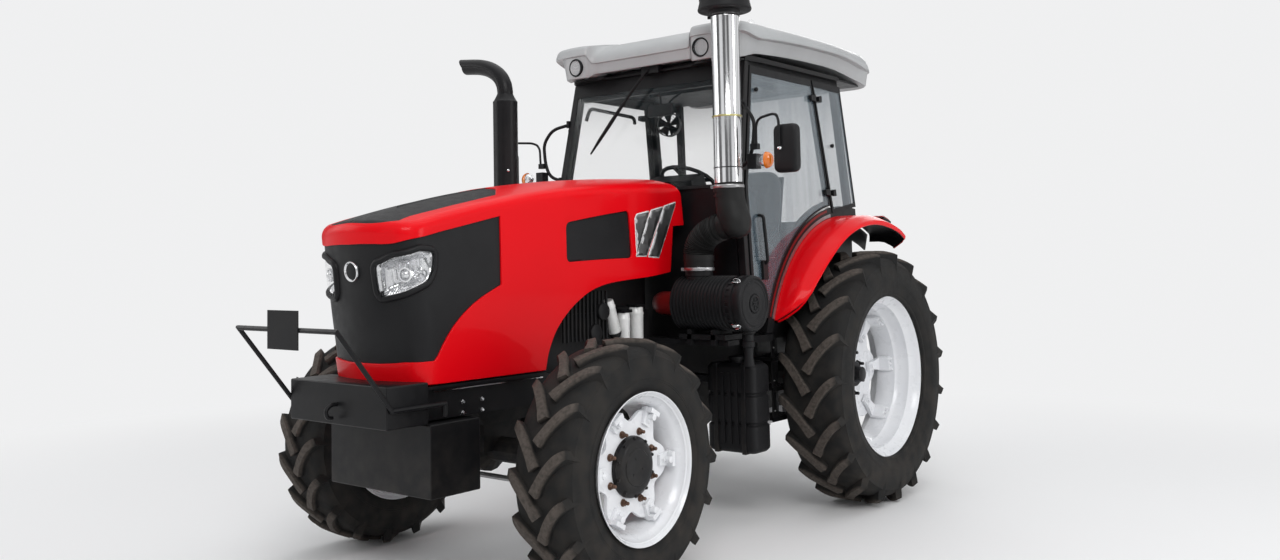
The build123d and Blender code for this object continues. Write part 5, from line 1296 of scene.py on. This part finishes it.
def mirrorCase():  # rings of the rounded outline from the crowned back to the rim round the glass
    m = mirror
    hx, hz = m["half"]
    loop = roundedLoop([(-hx, -hz), (hx, -hz), (hx, hz), (-hx, hz)], m["corner"])
    levels = [(0.10, 0.000), (0.50, 0.001), (0.80, 0.004), (0.92, 0.009), (0.975, 0.017), (1.0, 0.028),
              (1.0, 0.050), (0.985, 0.058), (0.955, 0.060), (0.950, 0.054), (0.10, 0.054)]
    rows = [np.stack([loop[:, 0] * s + m["centre"][0], np.full(len(loop), m["y"][0] + d),
                      loop[:, 1] * s + m["centre"][1]], axis=1) for s, d in levels]
    return gridPart(np.stack(rows), closeColumns=True, capRows=True)


def mirrorGlass():
    m = mirror
    hx, hz = (0.945 * v for v in m["half"])
    loop = roundedLoop([(-hx, -hz), (hx, -hz), (hx, hz), (-hx, hz)], m["corner"]) + m["centre"]
    return prism(loop, m["y"][0] + 0.052, m["y"][0] + 0.0565, axis="Y")


hoopPath = bendPath([(0.724, -1.086, 2.600), (0.799, -1.185, 2.562), (0.872, -1.200, 2.467),
                     (0.858, -1.200, 2.321), (0.822, -1.192, 2.226), (0.748, -1.152, 2.200)], 0.05, 7)
armPath = bendPath([(0.889, -1.216, 2.300), (0.893, -1.220, 2.444), (0.930, -1.240, 2.474),
                    (1.072, -1.306, 2.482), (1.108, -1.322, 2.455), (1.114, -1.326, 2.290)], 0.035, 6)
plates = [box((0.852, -1.228, 2.290), (0.902, -1.192, 2.325)),
          box((0.715, -1.110, 2.575), (0.735, -1.060, 2.625)),
          box((0.735, -1.176, 2.178), (0.758, -1.130, 2.222)),
          box((0.842, -1.250, 2.172), (0.905, -1.190, 2.262)),
          box((0.700, -1.100, 2.545), (0.728, -1.075, 2.565))]
makePiece("mirror_cases", bothSides([mirrorCase(), tube(hoopPath, 0.0115, 14), tube(armPath, 0.0080, 12),
                                     *plates]), "black_plastic", ("mirrors",), bevel=0.002)
makePiece("mirror_glasses", bothSides(mirrorGlass()), "mirror_face", slot="bright_steel")
ballJoint = lathe([(-0.016, 0.0), (-0.014, 0.008), (-0.006, 0.014), (0.004, 0.015), (0.012, 0.012),
                   (0.020, 0.010), (0.020, 0.0)], 20, closed=False, axis="Y", at=(1.114, -1.322, 2.272))
makePiece("mirror_ball_joints", bothSides(ballJoint), "bright_steel")


def domeHalf(reach, radius, flat):  # half of a flattened round lamp: a turned dome squeezed in depth
    a = np.linspace(0, math.pi / 2, 12)
    line = np.stack([reach * np.sin(a), radius * np.cos(a) ** 0.8], axis=1)
    points, faces = lathe(line, 36, closed=False)
    return points * [1, flat, 1], faces


lampAt = np.array([0.980, -1.256, 2.216])
amberHalf, clearHalf = domeHalf(0.046, 0.050, 0.72), domeHalf(-0.066, 0.050, 0.72)
makePiece("turn_lamp_amber", bothSides(moved(amberHalf, lampAt)), "amber_lens", ("signal_lamps",))
makePiece("turn_lamp_clear", bothSides(moved(clearHalf, lampAt)), "lamp_lens")
reflector = lathe([(-0.050, 0.012), (-0.030, 0.034), (-0.004, 0.043), (0.0, 0.043), (0.0, 0.0)], 36,
                  closed=False)
makePiece("turn_lamp_reflector", bothSides(moved((reflector[0] * [1, 0.72, 1], reflector[1]), lampAt)),
          "bright_steel")
print("mirrors and turn lamps made")

# Rear fenders: a crowned sheet carried round the arc; its outer edge, ridge and lip change along the arc

fender = dict(centre=(0.130, 0.800), radius=1.120, inner=0.716, front=156.4, rear=63.0, rows=116,
              edge=[(63.0, 0.925), (63.8, 0.985), (65.5, 1.018), (71, 1.028), (110, 1.030), (128, 1.022),
                    (137, 1.008), (145, 0.984), (149, 0.955), (151.5, 0.925), (153.5, 0.885), (155.2, 0.845),
                    (156.4, 0.800)],
              lip=[(63.0, 1.048), (83, 1.046), (112, 1.066), (145, 1.070), (156.4, 1.092)])


def fenderPart(inset=0.0):  # with an inset: the black lining under the sheet
    f = fender
    angle = np.linspace(f["front"], f["rear"], f["rows"])
    edge, lip = (np.interp(angle, *np.array(f[k]).T) for k in ("edge", "lip"))
    ridge = edge - 0.010 - 0.074 * np.clip((f["front"] - angle) / 16, 0, 1) ** 0.7
    roll = 0.052 * np.clip((f["rear"] + 1.6 - angle) / 1.6, 0, 1) ** 2      # the rear end turns down
    r, sheet = f["radius"] + inset, 0.005
    edge, ridge, lip = edge + inset, ridge + 0.4 * inset, lip - 0.3 * inset
    one = np.ones_like(angle)
    line = [(f["inner"] * one, r), (0.5 * (f["inner"] + ridge), r), (ridge - 0.045, r),
            (ridge - 0.020, r - 0.0010), (ridge, r - 0.0045), (ridge + 0.016, r - 0.0120),
            (edge - 0.020, r - 0.0345), (edge - 0.006, r - 0.0425), (edge, r - 0.0500),
            (edge, (r - 0.050 + lip) / 2), (edge, lip), (edge - 0.004, lip - 0.003), (edge - sheet, lip),
            (edge - sheet, r - 0.052), (edge - 0.022, r - 0.0415), (ridge - 0.002, r - 0.0120),
            (ridge - 0.045, r - sheet), (f["inner"] * one, r - sheet)]
    x = np.stack([np.broadcast_to(p[0], angle.shape) for p in line], axis=1)
    reach = np.stack([np.broadcast_to(p[1], angle.shape) for p in line], axis=1)
    reach = np.minimum(reach, r) - roll[:, None]
    turn = np.radians(angle)[:, None]
    y, z = f["centre"][0] + reach * np.cos(turn), f["centre"][1] + reach * np.sin(turn)
    return gridPart(np.stack([x, y, z], axis=-1), closeColumns=True, capRows=True)


def arcBand(x, r, angles, steps=80):
    # a flat strip round the fender's centre: four corners carried along the arc
    turn = np.radians(np.linspace(*angles, steps))
    corners = np.array([(x[0], r[0]), (x[1], r[0]), (x[1], r[1]), (x[0], r[1])])
    y = fender["centre"][0] + corners[None, :, 1] * np.cos(turn)[:, None]
    z = fender["centre"][1] + corners[None, :, 1] * np.sin(turn)[:, None]
    lean = 0.0515 * (z - 1.25) * (x[0] < 0.8)
    return gridPart(np.stack([corners[None, :, 0] - lean, y, z], axis=-1), closeColumns=True, capRows=True)


makePiece("fender_sheets", bothSides(fenderPart()), "red_paint", ("fenders",), smooth=50)
makePiece("fender_liners", bothSides([fenderPart(-0.0085),
                                      arcBand((0.716, 0.728), (0.98, 1.106), (152, 64))]), "black_plastic",
          smooth=50)
makePiece("sill_strips_grey", bothSides(arcBand((0.780, 0.7975), (1.124, 1.146), (156.5, 100))),
          "bare_steel")
makePiece("sill_strips_red", bothSides(arcBand((0.780, 0.7965), (1.164, 1.180), (156.5, 102))), "oxide_hose",
          slot="red_paint")

tailAt = dict(x=(0.842, 0.948), angles=(77.5, 71.5))
tailBase = arcBand(tailAt["x"], (1.119, 1.140), tailAt["angles"], 12)
tailLens = arcBand((tailAt["x"][0] + 0.010, tailAt["x"][1] - 0.010), (1.139, 1.152),
                   (tailAt["angles"][0] - 0.5, tailAt["angles"][1] + 0.5), 12)
materials["red_lens"] = finish("red_lens_finish", (0.50, 0.02, 0.02), (0.36, 0.01, 0.01), 0.15, coat=1.0,
                               blotch=20)
makePiece("tail_lamp_bases", bothSides(tailBase), "black_plastic", bevel=0.003)
makePiece("tail_lamp_lenses", bothSides(tailLens), "red_lens", slot="lamp_lens", bevel=0.004)
print("fenders made")

# Cab: glazing with black edges, seals and hinges, a dark lining, the seat and what stands round it


def filmGlass(name, base, tint, clear, topDark=0.0):
    # tinted for a ray from outside, clear for a ray from inside
    material = glassFinish(name, base, clear, 0.03)
    tree, add = graphOf(material)
    place = add("TexCoord").outputs["Object"]
    spot = add("SeparateXYZ", {"Vector": place}).outputs
    facing = add("SeparateXYZ", {"Vector": add("NewGeometry").outputs["Normal"]}).outputs
    outward = span(add, maths(add, "MULTIPLY", spot["X"], facing["X"]), 0.0, 0.02, 0.0, 1.0)
    stretch = add("Mapping", {"Scale": (0.4, 7.0, 0.5), "Vector": place}).outputs["Vector"]
    streaks = span(add, noise(add, stretch, 1.6, 4), 0.35, 0.65, 0.82 * tint, 1.12 * tint)
    film = maths(add, "MULTIPLY", outward, streaks)
    top = maths(add, "POWER", span(add, spot["Z"], 2.45, 2.86, 0.0, 1.0), 1.6)
    alpha = maths(add, "ADD", maths(add, "ADD", film, maths(add, "MULTIPLY", top, topDark)), clear)
    tree.links.new(alpha, tree.nodes["Principled BSDF"].inputs["Alpha"])
    return material


materials["screen_glass"] = filmGlass("screen_glass_finish", (0.018, 0.032, 0.037), 0.0, 0.045, topDark=0.24)
materials["side_glass"] = filmGlass("side_glass_finish", (0.105, 0.145, 0.175), 0.36, 0.03, topDark=0.10)

cab = dict(base=0.800, slope=0.0515, foot=1.25, front=-1.190, belt=2.090, top=2.880, lean=0.155,
           centre=(0.130, 0.800), sill=1.201, doorFoot=1.262, doorTop=2.856)


def sideX(z):
    return cab["base"] - cab["slope"] * (z - cab["foot"])


def frontY(z):
    return cab["front"] + cab["lean"] * np.maximum(z - cab["belt"], 0) / (cab["top"] - cab["belt"])


def postY(z, low=(-0.045, 1.925), high=(-0.208, 2.880)):  # the line the door's rear edge follows
    return low[0] + (high[0] - low[0]) * (z - low[1]) / (high[1] - low[1])


def onSide(loops, depths):
    # loops of one length carried between depths from the cab's leaning side, closed round
    rows = [np.stack([sideX(loop[:, 1]) + depth, loop[:, 0], loop[:, 1]], axis=1) for loop,
            depth in zip(loops, depths)]
    return np.stack(rows)


def sidePlate(loop, outer, inner):  # a flat sheet in the cab's side
    return gridPart(onSide([loop, loop], [inner, outer]), closeColumns=True, capRows=True)


def sideFrame(outside, inside, outer, inner):  # the ring between two loops
    return gridPart(onSide([outside, outside, inside, inside], [inner, outer, outer, inner]), closeRows=True,
                    closeColumns=True)


def doorLoop(top, front, rear, foot, count=40):
    r, z0 = cab["sill"] + foot, cab["doorFoot"] + foot
    angle = np.linspace(math.pi - math.asin((z0 - cab["centre"][1]) / r), math.radians(60), 400)
    y, z = cab["centre"][0] + r * np.cos(angle), cab["centre"][1] + r * np.sin(angle)
    reached = np.argmin(np.abs(y - (postY(z) - 0.010 - rear)))
    keep = np.linspace(0, reached, count).astype(int)
    topZ = cab["doorTop"] - top
    head = [(postY(topZ) - 0.010 - rear, topZ), (frontY(topZ) + 0.050 + front, topZ),
            (frontY(cab["belt"]) + 0.054 + front, cab["belt"]), (frontY(cab["belt"]) + 0.054 + front, z0)]
    return np.array(head + list(zip(y[keep], z[keep])))


doorEdge, doorInside = doorLoop(0, 0, 0, 0), doorLoop(0.052, 0.026, 0.011, 0.012)
doorRail = doorLoop(0.075, 0.050, 0.034, 0.040)


def hingePlate(y, z):
    return sidePlate(roundedLoop([(y[0], z - 0.018), (y[0], z + 0.018), (y[1], z + 0.024),
                                  (y[1], z - 0.024)], 0.008),
                     0.026, 0.002)


hingeHeights = (2.722, 2.077)
hinge = [hingePlate((postY(z) - 0.082, postY(z) - 0.019), z) for z in hingeHeights]
postPlates = [hingePlate((postY(z) + 0.022, postY(z) + 0.060), z) for z in hingeHeights]
knuckle = [tube([(sideX(z + h) + 0.008, postY(z + h) - 0.005, z + h) for h in (-0.034, 0.034)], 0.008, 16)
           for z in hingeHeights]
grip = [tube(bendPath([(0.775, -0.985, 1.60), (0.815, -0.990, 1.60), (0.800, -1.010, 1.90),
                       (0.762, -1.005, 1.90)],
                      0.03), 0.011, 10), sidePlate(roundedLoop([(-1.020, 1.50), (-0.965, 1.50),
                                                                (-0.965, 1.62), (-1.020, 1.62)], 0.012),
                                                   0.016, 0.0)]
for side, sideName in ((1, "left"), (-1, "right")):
    turnSide = (lambda part: part) if side > 0 else mirrored
    dark = joinParts([sideFrame(doorEdge, doorInside, 0.0, -0.014),
                      sideFrame(doorInside, doorRail, -0.010, -0.030), *hinge, *grip])
    makePiece("door_frame_" + sideName, turnSide(dark), "black_plastic", ("door_" + sideName,),
              body="door_" + sideName, bevel=0.002)
    makePiece("door_pane_" + sideName, turnSide(sidePlate(doorEdge, -0.003, -0.008)), "side_glass",
              ("door_" + sideName + "_glass",), slot="window_glass", body="door_" + sideName)

quarterEdge = np.array([(-0.034, 1.936), (postY(2.850) + 0.010, 2.850), (0.204, 2.846), (0.316, 1.990)])
quarterInside = np.array([(-0.018, 1.966), (postY(2.806) + 0.022, 2.806), (0.196, 2.800), (0.300, 2.018)])
quarterPane = sidePlate(quarterEdge, -0.003, -0.008)
z = np.linspace(2.086, 2.876, 14)[:, None]
across = np.linspace(-1, 1, 41)[None]


def screenPoints(z, across, out):  # the windscreen bows forward a little in its middle
    half = sideX(z) - 0.028
    return np.stack([across * half, frontY(z) - 0.014 * (1 - across ** 2) - out + 0 * z, z + 0 * across],
                    axis=-1)


def sheetBetween(front, back):  # two point grids of one shape joined round their border
    ring = np.concatenate([front[0], front[1:, -1], front[-1, -2::-1], front[-2:0:-1, 0]])
    inner = np.concatenate([back[0], back[1:, -1], back[-1, -2::-1], back[-2:0:-1, 0]])
    return joinParts([gridPart(front), gridPart(back[:, ::-1]),
                      gridPart(np.stack([ring, inner]), closeColumns=True)])


screen = sheetBetween(screenPoints(z, across, 0.003), screenPoints(z, across, -0.002))
rearFrame = np.array([(-0.690, 1.905), (0.690, 1.905), (0.652, 2.870), (-0.652, 2.870)])
rearPlane = [np.stack([rearFrame[:, 0], 0.314 - 0.108 * (rearFrame[:, 1] - 1.905) - depth, rearFrame[:, 1]],
                      axis=1)
             for depth in (0.012, 0.006)]
rearPane = gridPart(np.stack(rearPlane), closeColumns=True, capRows=True)
makePiece("screens", [screen, rearPane], "screen_glass", ("cab_glass",), slot="window_glass")
makePiece("quarter_panes", bothSides(quarterPane), "side_glass", slot="window_glass")

bandZ = np.linspace(2.782, 2.880, 4)[:, None]
topBand = sheetBetween(screenPoints(bandZ, across, 0.006), screenPoints(bandZ, across, 0.0))
edgeZ = np.linspace(2.086, 2.880, 12)[:, None]
sideBands = [sheetBetween(screenPoints(edgeZ, np.linspace(*ends, 4)[None], 0.0055),
                          screenPoints(edgeZ, np.linspace(*ends, 4)[None], 0.0))
             for ends in ((0.955, 1.012), (-1.012, -0.955))]
lowBand = sheetBetween(screenPoints(np.linspace(2.078, 2.098, 2)[:, None], across, 0.006),
                       screenPoints(np.linspace(2.078, 2.098, 2)[:, None], across, 0.0))
headSide = [(frontY(2.80) + 0.02, 2.806), (0.205, 2.800), (0.200, 2.880), (frontY(2.88) + 0.02, 2.880)]
seals = bothSides(joinParts([sideFrame(quarterEdge, quarterInside, 0.0, -0.014), *knuckle, *postPlates,
                             sidePlate(np.array(headSide), -0.016, -0.030)]))
lining = [box((-0.685, -1.005, 2.846), (0.685, 0.190, 2.872)),
          box((-0.67, -1.000, 2.760), (0.67, -0.960, 2.850)),
          box((-0.42, -0.55, 2.815), (0.42, -0.20, 2.850))]
knobs = [lathe([(0.0, 0.0), (0.0, 0.011), (0.012, 0.015), (0.020, 0.012), (0.022, 0.0)], 16, closed=False,
               at=spot)
         for spot in ((sideX(2.408) - 0.002, 0.012, 2.408), (sideX(2.70) - 0.002, -0.95, 2.70))]
makePiece("cab_seals_and_lining", [topBand, *sideBands, lowBand, seals, *lining,
                                   bothSides(joinParts(knobs))], "black_plastic", smooth=30)
print("cab glazed")

# Seat: cushion and backrest as crowned, quilted forms on a plastic shell, with armrests and a suspension
# boot


def cushionPart(size, crown, corner, stitchCount, rows=40, columns=48):
    # a soft block: rounded plan, crowned top and bottom, with cross stitches that dip the top
    a = np.linspace(0, 2 * math.pi, columns, endpoint=False)
    share = np.concatenate([np.linspace(0, 1, rows // 2) ** 0.7,
                            np.linspace(1, 0, rows // 2) ** 0.7])[:, None]
    power = 2 / (2 + corner)
    x = size[0] * share * np.sign(np.cos(a)) * np.abs(np.cos(a)) ** power
    y = size[1] * share * np.sign(np.sin(a)) * np.abs(np.sin(a)) ** power
    height = np.clip(1 - share ** 5, 0, 1) ** 0.45
    sign = np.concatenate([-np.ones(rows // 2), np.ones(rows // 2)])[:, None]
    bulge = crown * (1 - (x / size[0]) ** 2) * (1 - (y / size[1]) ** 2)
    stitch = sum(np.exp(-((y - s) / 0.006) ** 2) for s in np.linspace(-0.55, 0.55,
                                                                      stitchCount) * size[1]) * 0.009
    bolster = 0.018 * blendStep(np.abs(x), 0.58 * size[0], 0.80 * size[0])
    z = sign * size[2] * height + (sign > 0) * height * (bulge + bolster - stitch *
                                                         (np.abs(x) < 0.7 * size[0]))
    return gridPart(np.stack([x, y, z + 0 * x], axis=-1)[1:-1], closeColumns=True, capRows=True)


seat = dict(cushion=(0.245, 0.235, 0.052), back=(0.235, 0.300, 0.050), spot=(0, -0.085, 1.680), lean=10)
cushion = moved(cushionPart(seat["cushion"], 0.022, 2.2, 3), seat["spot"])
backRest = turned(cushionPart(seat["back"], 0.018, 2.4, 4), "X", 90)
backRest = moved(turned(backRest, "X", -seat["lean"]), (0, 0.150, 1.985))
cushionPiece = makePiece("seat_cushion", cushion, "seat_cloth", ("seat",), smooth=60)
makePiece("seat_backrest", backRest, "seat_cloth", smooth=60)
shell = [turned(box((-0.222, 0.186, 1.70), (0.222, 0.206, 2.24)), "X", -seat["lean"], (0, 0.18, 1.985)),
         box((-0.225, -0.300, 1.612), (0.225, 0.150, 1.642)),
         box((-0.20, -0.26, 1.350), (0.20, 0.12, 1.385)), box((-0.22, -0.27, 1.160), (0.22, 0.14, 1.230))]
boot = lathe([(1.225, 0.165)] + [(1.235 + 0.0095 * n, 0.175 if n % 2 else 0.150)
                                 for n in range(40)] + [(1.618, 0.165)],
             40, closed=False, axis="Z", at=(0, -0.07, 0))
arms = bothSides(joinParts([box((0.238, -0.210, 1.860), (0.249, 0.100, 1.890)),
                            box((0.238, 0.060, 1.640), (0.249, 0.100, 1.890))]))
makePiece("seat_shell", [*shell, boot, arms], "black_plastic", bevel=0.004)

fanAt = np.array([-0.210, -0.600, 2.595])
fanRing = lathe([(-0.030, 0.080), (-0.030, 0.086), (0.030, 0.086), (0.030, 0.080)], 40)
fanBlades = repeatRound(gridPart(np.array([[[-0.015, -0.014, 0.018], [-0.005, -0.040, 0.074]],
                                           [[0.012, 0.014, 0.018], [0.020, 0.030, 0.074]],
                                           [[0.015, 0.014, 0.018], [0.023, 0.030, 0.074]],
                                           [[-0.012, -0.014, 0.018], [-0.002, -0.040, 0.074]]]),
                                 closeRows=True), 5)
fanHub = lathe([(-0.030, 0.0), (-0.030, 0.018), (0.030, 0.020), (0.045, 0.014), (0.045, 0.0)], 20,
               closed=False)
fanWires = joinParts([lathe([(0.032, r - 0.001), (0.032, r + 0.001), (0.034, r + 0.001), (0.034, r - 0.001)],
                            32)
                      for r in (0.030, 0.048, 0.066)])
fanPart = moved(turned(joinParts([fanRing, fanBlades, fanHub, fanWires]), "Z", -70), fanAt)
fanArm = tube(bendPath([fanAt + (0, 0, 0.08), fanAt + (0, 0, 0.16), (-0.10, -0.55, 2.84)], 0.04), 0.008, 10)
innerMirror = box((-0.10, -0.985, 2.600), (0.10, -0.965, 2.680))
mirrorStem = tube([(0, -0.972, 2.66), (0, -0.985, 2.78)], 0.008, 10)
farRail = tube(bendPath([(-0.66, -0.98, 2.63), (-0.64, -0.96, 2.72), (-0.64, -0.45, 2.70),
                         (-0.66, -0.42, 2.66)], 0.04), 0.013, 12)
leverPlaces = ((0.36, 0.0), (0.42, -0.03), (-0.38, 0.02))  # X and how much higher the knob stands
levers = [tube(bendPath([(x, -0.42, 1.60), (x, -0.46, 1.95), (x + 0.01, -0.50, 2.10 + lift)], 0.1), 0.008,
               10)
          for x, lift in leverPlaces]
leverKnobs = [lathe([(-0.02, 0.0), (-0.02, 0.012), (-0.005, 0.021), (0.015, 0.023), (0.028, 0.014),
                     (0.030, 0.0)], 20,
                    closed=False, axis="Z", at=(x + 0.01, -0.50, 2.10 + lift)) for x, lift in leverPlaces]
consoles = bothSides(box((0.31, -0.60, 1.160), (0.50, 0.18, 1.640)))
binnacle = turned(box((-0.20, -0.90, 2.06), (0.20, -0.74, 2.19)), "X", 20, (0, -0.82, 2.1))
makePiece("cab_fittings", [fanPart, fanArm, innerMirror, mirrorStem, farRail, *levers, *leverKnobs,
                           binnacle], "black_plastic", smooth=34)
makePiece("cab_consoles", consoles, "black_plastic", bevel=0.02)
print("cab fitted out")

# Cab posts set behind the glass, and a dark underside for the roof: a black slab that is painted shade under
# the roof's edge


def postBar(line, heights, width, depth, inset):  # a square bar up the cab's side; line gives its front edge
    z = np.asarray(heights, float)
    x, y = sideX(z) - inset, line(z)
    corners = [(0, 0), (0, width), (-depth, width), (-depth, 0)]
    return gridPart(np.stack([np.stack([x + dx, y + dy, z], axis=1) for dx, dy in corners], axis=1),
                    closeColumns=True, capRows=True)


def rearY(z):
    return 0.317 - 0.108 * (z - 1.880)


posts = [postBar(frontY, (1.160, 2.090, 2.880), 0.044, 0.050, 0.004),
         postBar(lambda z: postY(z) + 0.014, (1.995, 2.400, 2.880), 0.050, 0.045, 0.018),
         postBar(lambda z: rearY(z) - 0.055, (1.900, 2.400, 2.880), 0.048, 0.050, 0.018)]
makePiece("cab_posts", bothSides(joinParts(posts)), "black_paint", ("cab_pillars",), bevel=0.006)
# the underside's black stands in for the shadow under the roof: painted shade, not the roof's own colour
plan = roofPlan() * [0.90, 0.93] + [0, 0.02]
under = np.stack([np.concatenate([plan, np.full((len(plan), 1), z)], axis=1) for z in (2.881, 2.893)])
makePiece("roof_underside", gridPart(under, closeColumns=True, capRows=True), "black_plastic")

# Fuel tank on the left and battery box on the right: rounded boxes with pressed ribs, straps and a neck


def softBox(low, high, corner, ribs=(), ribDepth=0.010, rows=61, edge=0.020):
    # rounded plan, ribs running round it at given Z
    low, high = np.asarray(low, float), np.asarray(high, float)
    loop = roundedLoop([(low[0], low[1]), (high[0], low[1]), (high[0], high[1]), (low[0], high[1])], corner)
    mid = (low[:2] + high[:2]) / 2
    half = (high[:2] - low[:2]) / 2
    z = np.linspace(low[2], high[2], rows)
    ends = np.minimum(z - low[2], high[2] - z)
    pull = edge * (1 - np.clip(ends / (1.5 * edge), 0,
                               1)) ** 2 + sum(ribDepth * np.exp(-((z - r) / 0.010) ** 4) for r in ribs)
    rings = [np.concatenate([mid + (loop - mid) * (1 - p / half), np.full((len(loop), 1), h)], axis=1)
             for p, h in zip(pull, z)]
    return gridPart(np.stack(rings), closeColumns=True, capRows=True)


def uprightRibs(xs, y, z, depth=0.008, width=0.016):  # pressed ribs on the front face
    return [prism([(x - width, z[0]), (x + width, z[0]), (x + width * 0.6, z[1]), (x - width * 0.6, z[1])],
                  y - depth, y + 0.004, axis="Y") for x in xs]


tank = softBox((0.440, -1.155, 0.445), (0.790, -0.950, 0.985), 0.045, (0.62, 0.80))
tankNeck = lathe([(0.980, 0.0), (0.980, 0.036), (1.000, 0.036), (1.002, 0.046), (1.022, 0.046),
                  (1.025, 0.040), (1.025, 0.0)], 32, closed=False, axis="Z", at=(0.60, -1.05, 0))
straps = [box((x, -1.162, 0.440), (x + 0.030, -0.943, 0.990)) for x in (0.500, 0.700)]
tankLink = box((0.200, -1.110, 0.860), (0.460, -1.000, 0.900))
makePiece("fuel_tank_body", [tank, *uprightRibs((0.565, 0.615, 0.665), -1.155, (0.50, 0.93)), tankNeck,
                             tankLink], "black_plastic", ("fuel_tank",), smooth=40)
makePiece("fuel_tank_straps", joinParts(straps), "black_paint", bevel=0.003)
battery = softBox((-0.792, -1.160, 0.605), (-0.400, -0.945, 0.960), 0.020, (0.70, 0.86), 0.006)
lid = softBox((-0.796, -1.165, 0.955), (-0.396, -0.940, 0.998), 0.024)
latches = [box((x, -1.172, 0.935), (x + 0.035, -1.160, 0.985)) for x in (-0.70, -0.53)]
makePiece("battery_case", [battery, lid, box((-0.410, -1.110, 0.80), (-0.200, -1.000, 0.84))],
          "black_plastic", ("battery_box",), smooth=40)
makePiece("battery_latches", joinParts(latches), "bare_steel", bevel=0.002)

# Steps: ladder side plates with open treads, anti-slip teeth and rubber hangers


def treadPart(z, y=(-0.790, -0.500), x=(0.560, 0.706)):
    bars = [box((x[0], a, z - 0.012), (x[1], a + 0.012, z + 0.006))
            for a in np.linspace(y[0], y[1] - 0.012, 7)]
    rails = [box((a, y[0], z - 0.020), (a + 0.010, y[1], z + 0.010)) for a in (x[0], x[1] - 0.010)]
    teeth = [box((x[1] - 0.010, a, z + 0.010), (x[1], a + 0.012, z + 0.018))
             for a in np.linspace(y[0] + 0.01, y[1] - 0.02, 9)]
    return bars + rails + teeth


ladder = [part for z in (0.610, 0.800, 0.990) for part in treadPart(z)]
hangers = [box((x, y, 0.590), (x + 0.008, y + 0.045, 1.120))
           for x in (0.565, 0.694) for y in (-0.790, -0.545)]
makePiece("steps", bothSides(joinParts(ladder + hangers)), "black_paint", ("side_steps",), bevel=0.002)
stepBolts = [bolt(0.010, 0.007, (0.702, y, z)) for y in (-0.768, -0.522) for z in (0.66, 0.85, 1.06)]
makePiece("step_bolts", bothSides(joinParts(stepBolts)), "bare_steel")

# Filters: spin-on cans with rolled seams, hex necks and a bracket, their labels left bare

def canPart(radius, low, high):
    return lathe([(low, 0.0), (low, 0.6 * radius), (low + 0.006, 0.85 * radius),
                  (low + 0.014, 0.97 * radius), (high - 0.050, radius), (high - 0.044, radius + 0.0015),
                  (high - 0.034, radius + 0.0015), (high - 0.030, radius - 0.001),
                  (high - 0.006, radius - 0.002), (high, 0.88 * radius), (high, 0.0)], 40,
                 closed=False, axis="Z")


cans = [moved(canPart(0.045, 1.150, 1.352), (0.258, -1.618, 0)),
        moved(canPart(0.039, 1.160, 1.322), (0.262, -1.745, 0)),
        moved(turned(canPart(0.040, -0.105, 0.105), "X", 20), (0.262, -1.862, 1.300))]
makePiece("filter_cans", joinParts(cans), "filter_white", ("fuel_filters",))
heads = [box((0.215, -1.660, 1.350), (0.300, -1.576, 1.366)),
         box((0.215, -1.785, 1.322), (0.300, -1.705, 1.340)),
         box((0.200, -1.850, 1.338), (0.232, -1.576, 1.356)),
         moved(turned(lathe([(-0.125, 0.0), (-0.125, 0.030), (-0.100, 0.041), (-0.096, 0.041),
                             (-0.096, 0.0)], 32,
    closed=False, axis="Z"), "X", 20), (0.262, -1.862, 1.300))]
makePiece("filter_heads", joinParts(heads), "black_paint", bevel=0.002)
guardRibs = [box((0.285, -2.32 + 0.034 * n, 1.18), (0.297, -2.306 + 0.034 * n, 1.46)) for n in range(12)]
engineBits = [lathe([(0.0, 0.0), (0.0, 0.05), (0.03, 0.05), (0.034, 0.044), (0.034, 0.0)], 32, closed=False,
                    at=(0.28, y, z))
              for y, z in ((-1.98, 1.34), (-2.05, 1.22))]
makePiece("engine_details", [*guardRibs, *engineBits], "cast_black", bevel=0.002)

# Front: plates with rounded edges, bolts, tow hook, a side strip and an air pipe

front = dict(plate=((-0.375, -3.624, 0.872), (0.375, -3.373, 1.070)),
             box=((-0.386, -3.372, 0.517), (0.386, -3.049, 0.868)))
makePiece("front_plate_body", softBox(*front["plate"], 0.005, rows=81, edge=0.004), "black_paint",
          ("front_plate",))
makePiece("weight_body", softBox(*front["box"], 0.005, rows=101, edge=0.004), "black_paint", ("weight_box",))
hookPath = smoothPath([(0.0, -3.610, 0.965), (0.0, -3.650, 0.968), (0.0, -3.682, 0.945),
                       (0.0, -3.676, 0.912), (0.0, -3.648, 0.905)], 24)
railX = 0.330
sideStrip = box((railX, -3.310, 1.020), (railX + 0.008, -2.540, 1.046))
stripEdge = box((railX + 0.006, -3.310, 1.014), (railX + 0.010, -2.540, 1.019))
bolts = [bolt(0.017, 0.012, (railX + 0.002, y, z)) for y in (-3.115, -2.985) for z in (0.948, 0.895)]
airPipe = tube(bendPath([(0.392, -3.360, 0.985), (0.392, -3.330, 0.945), (0.392, -3.120, 0.950),
                         (0.392, -3.060, 0.930), (0.392, -3.050, 0.870)], 0.05), 0.011, 12)
makePiece("front_details", [tube(hookPath, 0.010, 12), sideStrip, airPipe], "black_paint")
makePiece("front_bolts", bothSides([*bolts, stripEdge]), "bright_steel")
print("lower fittings made")
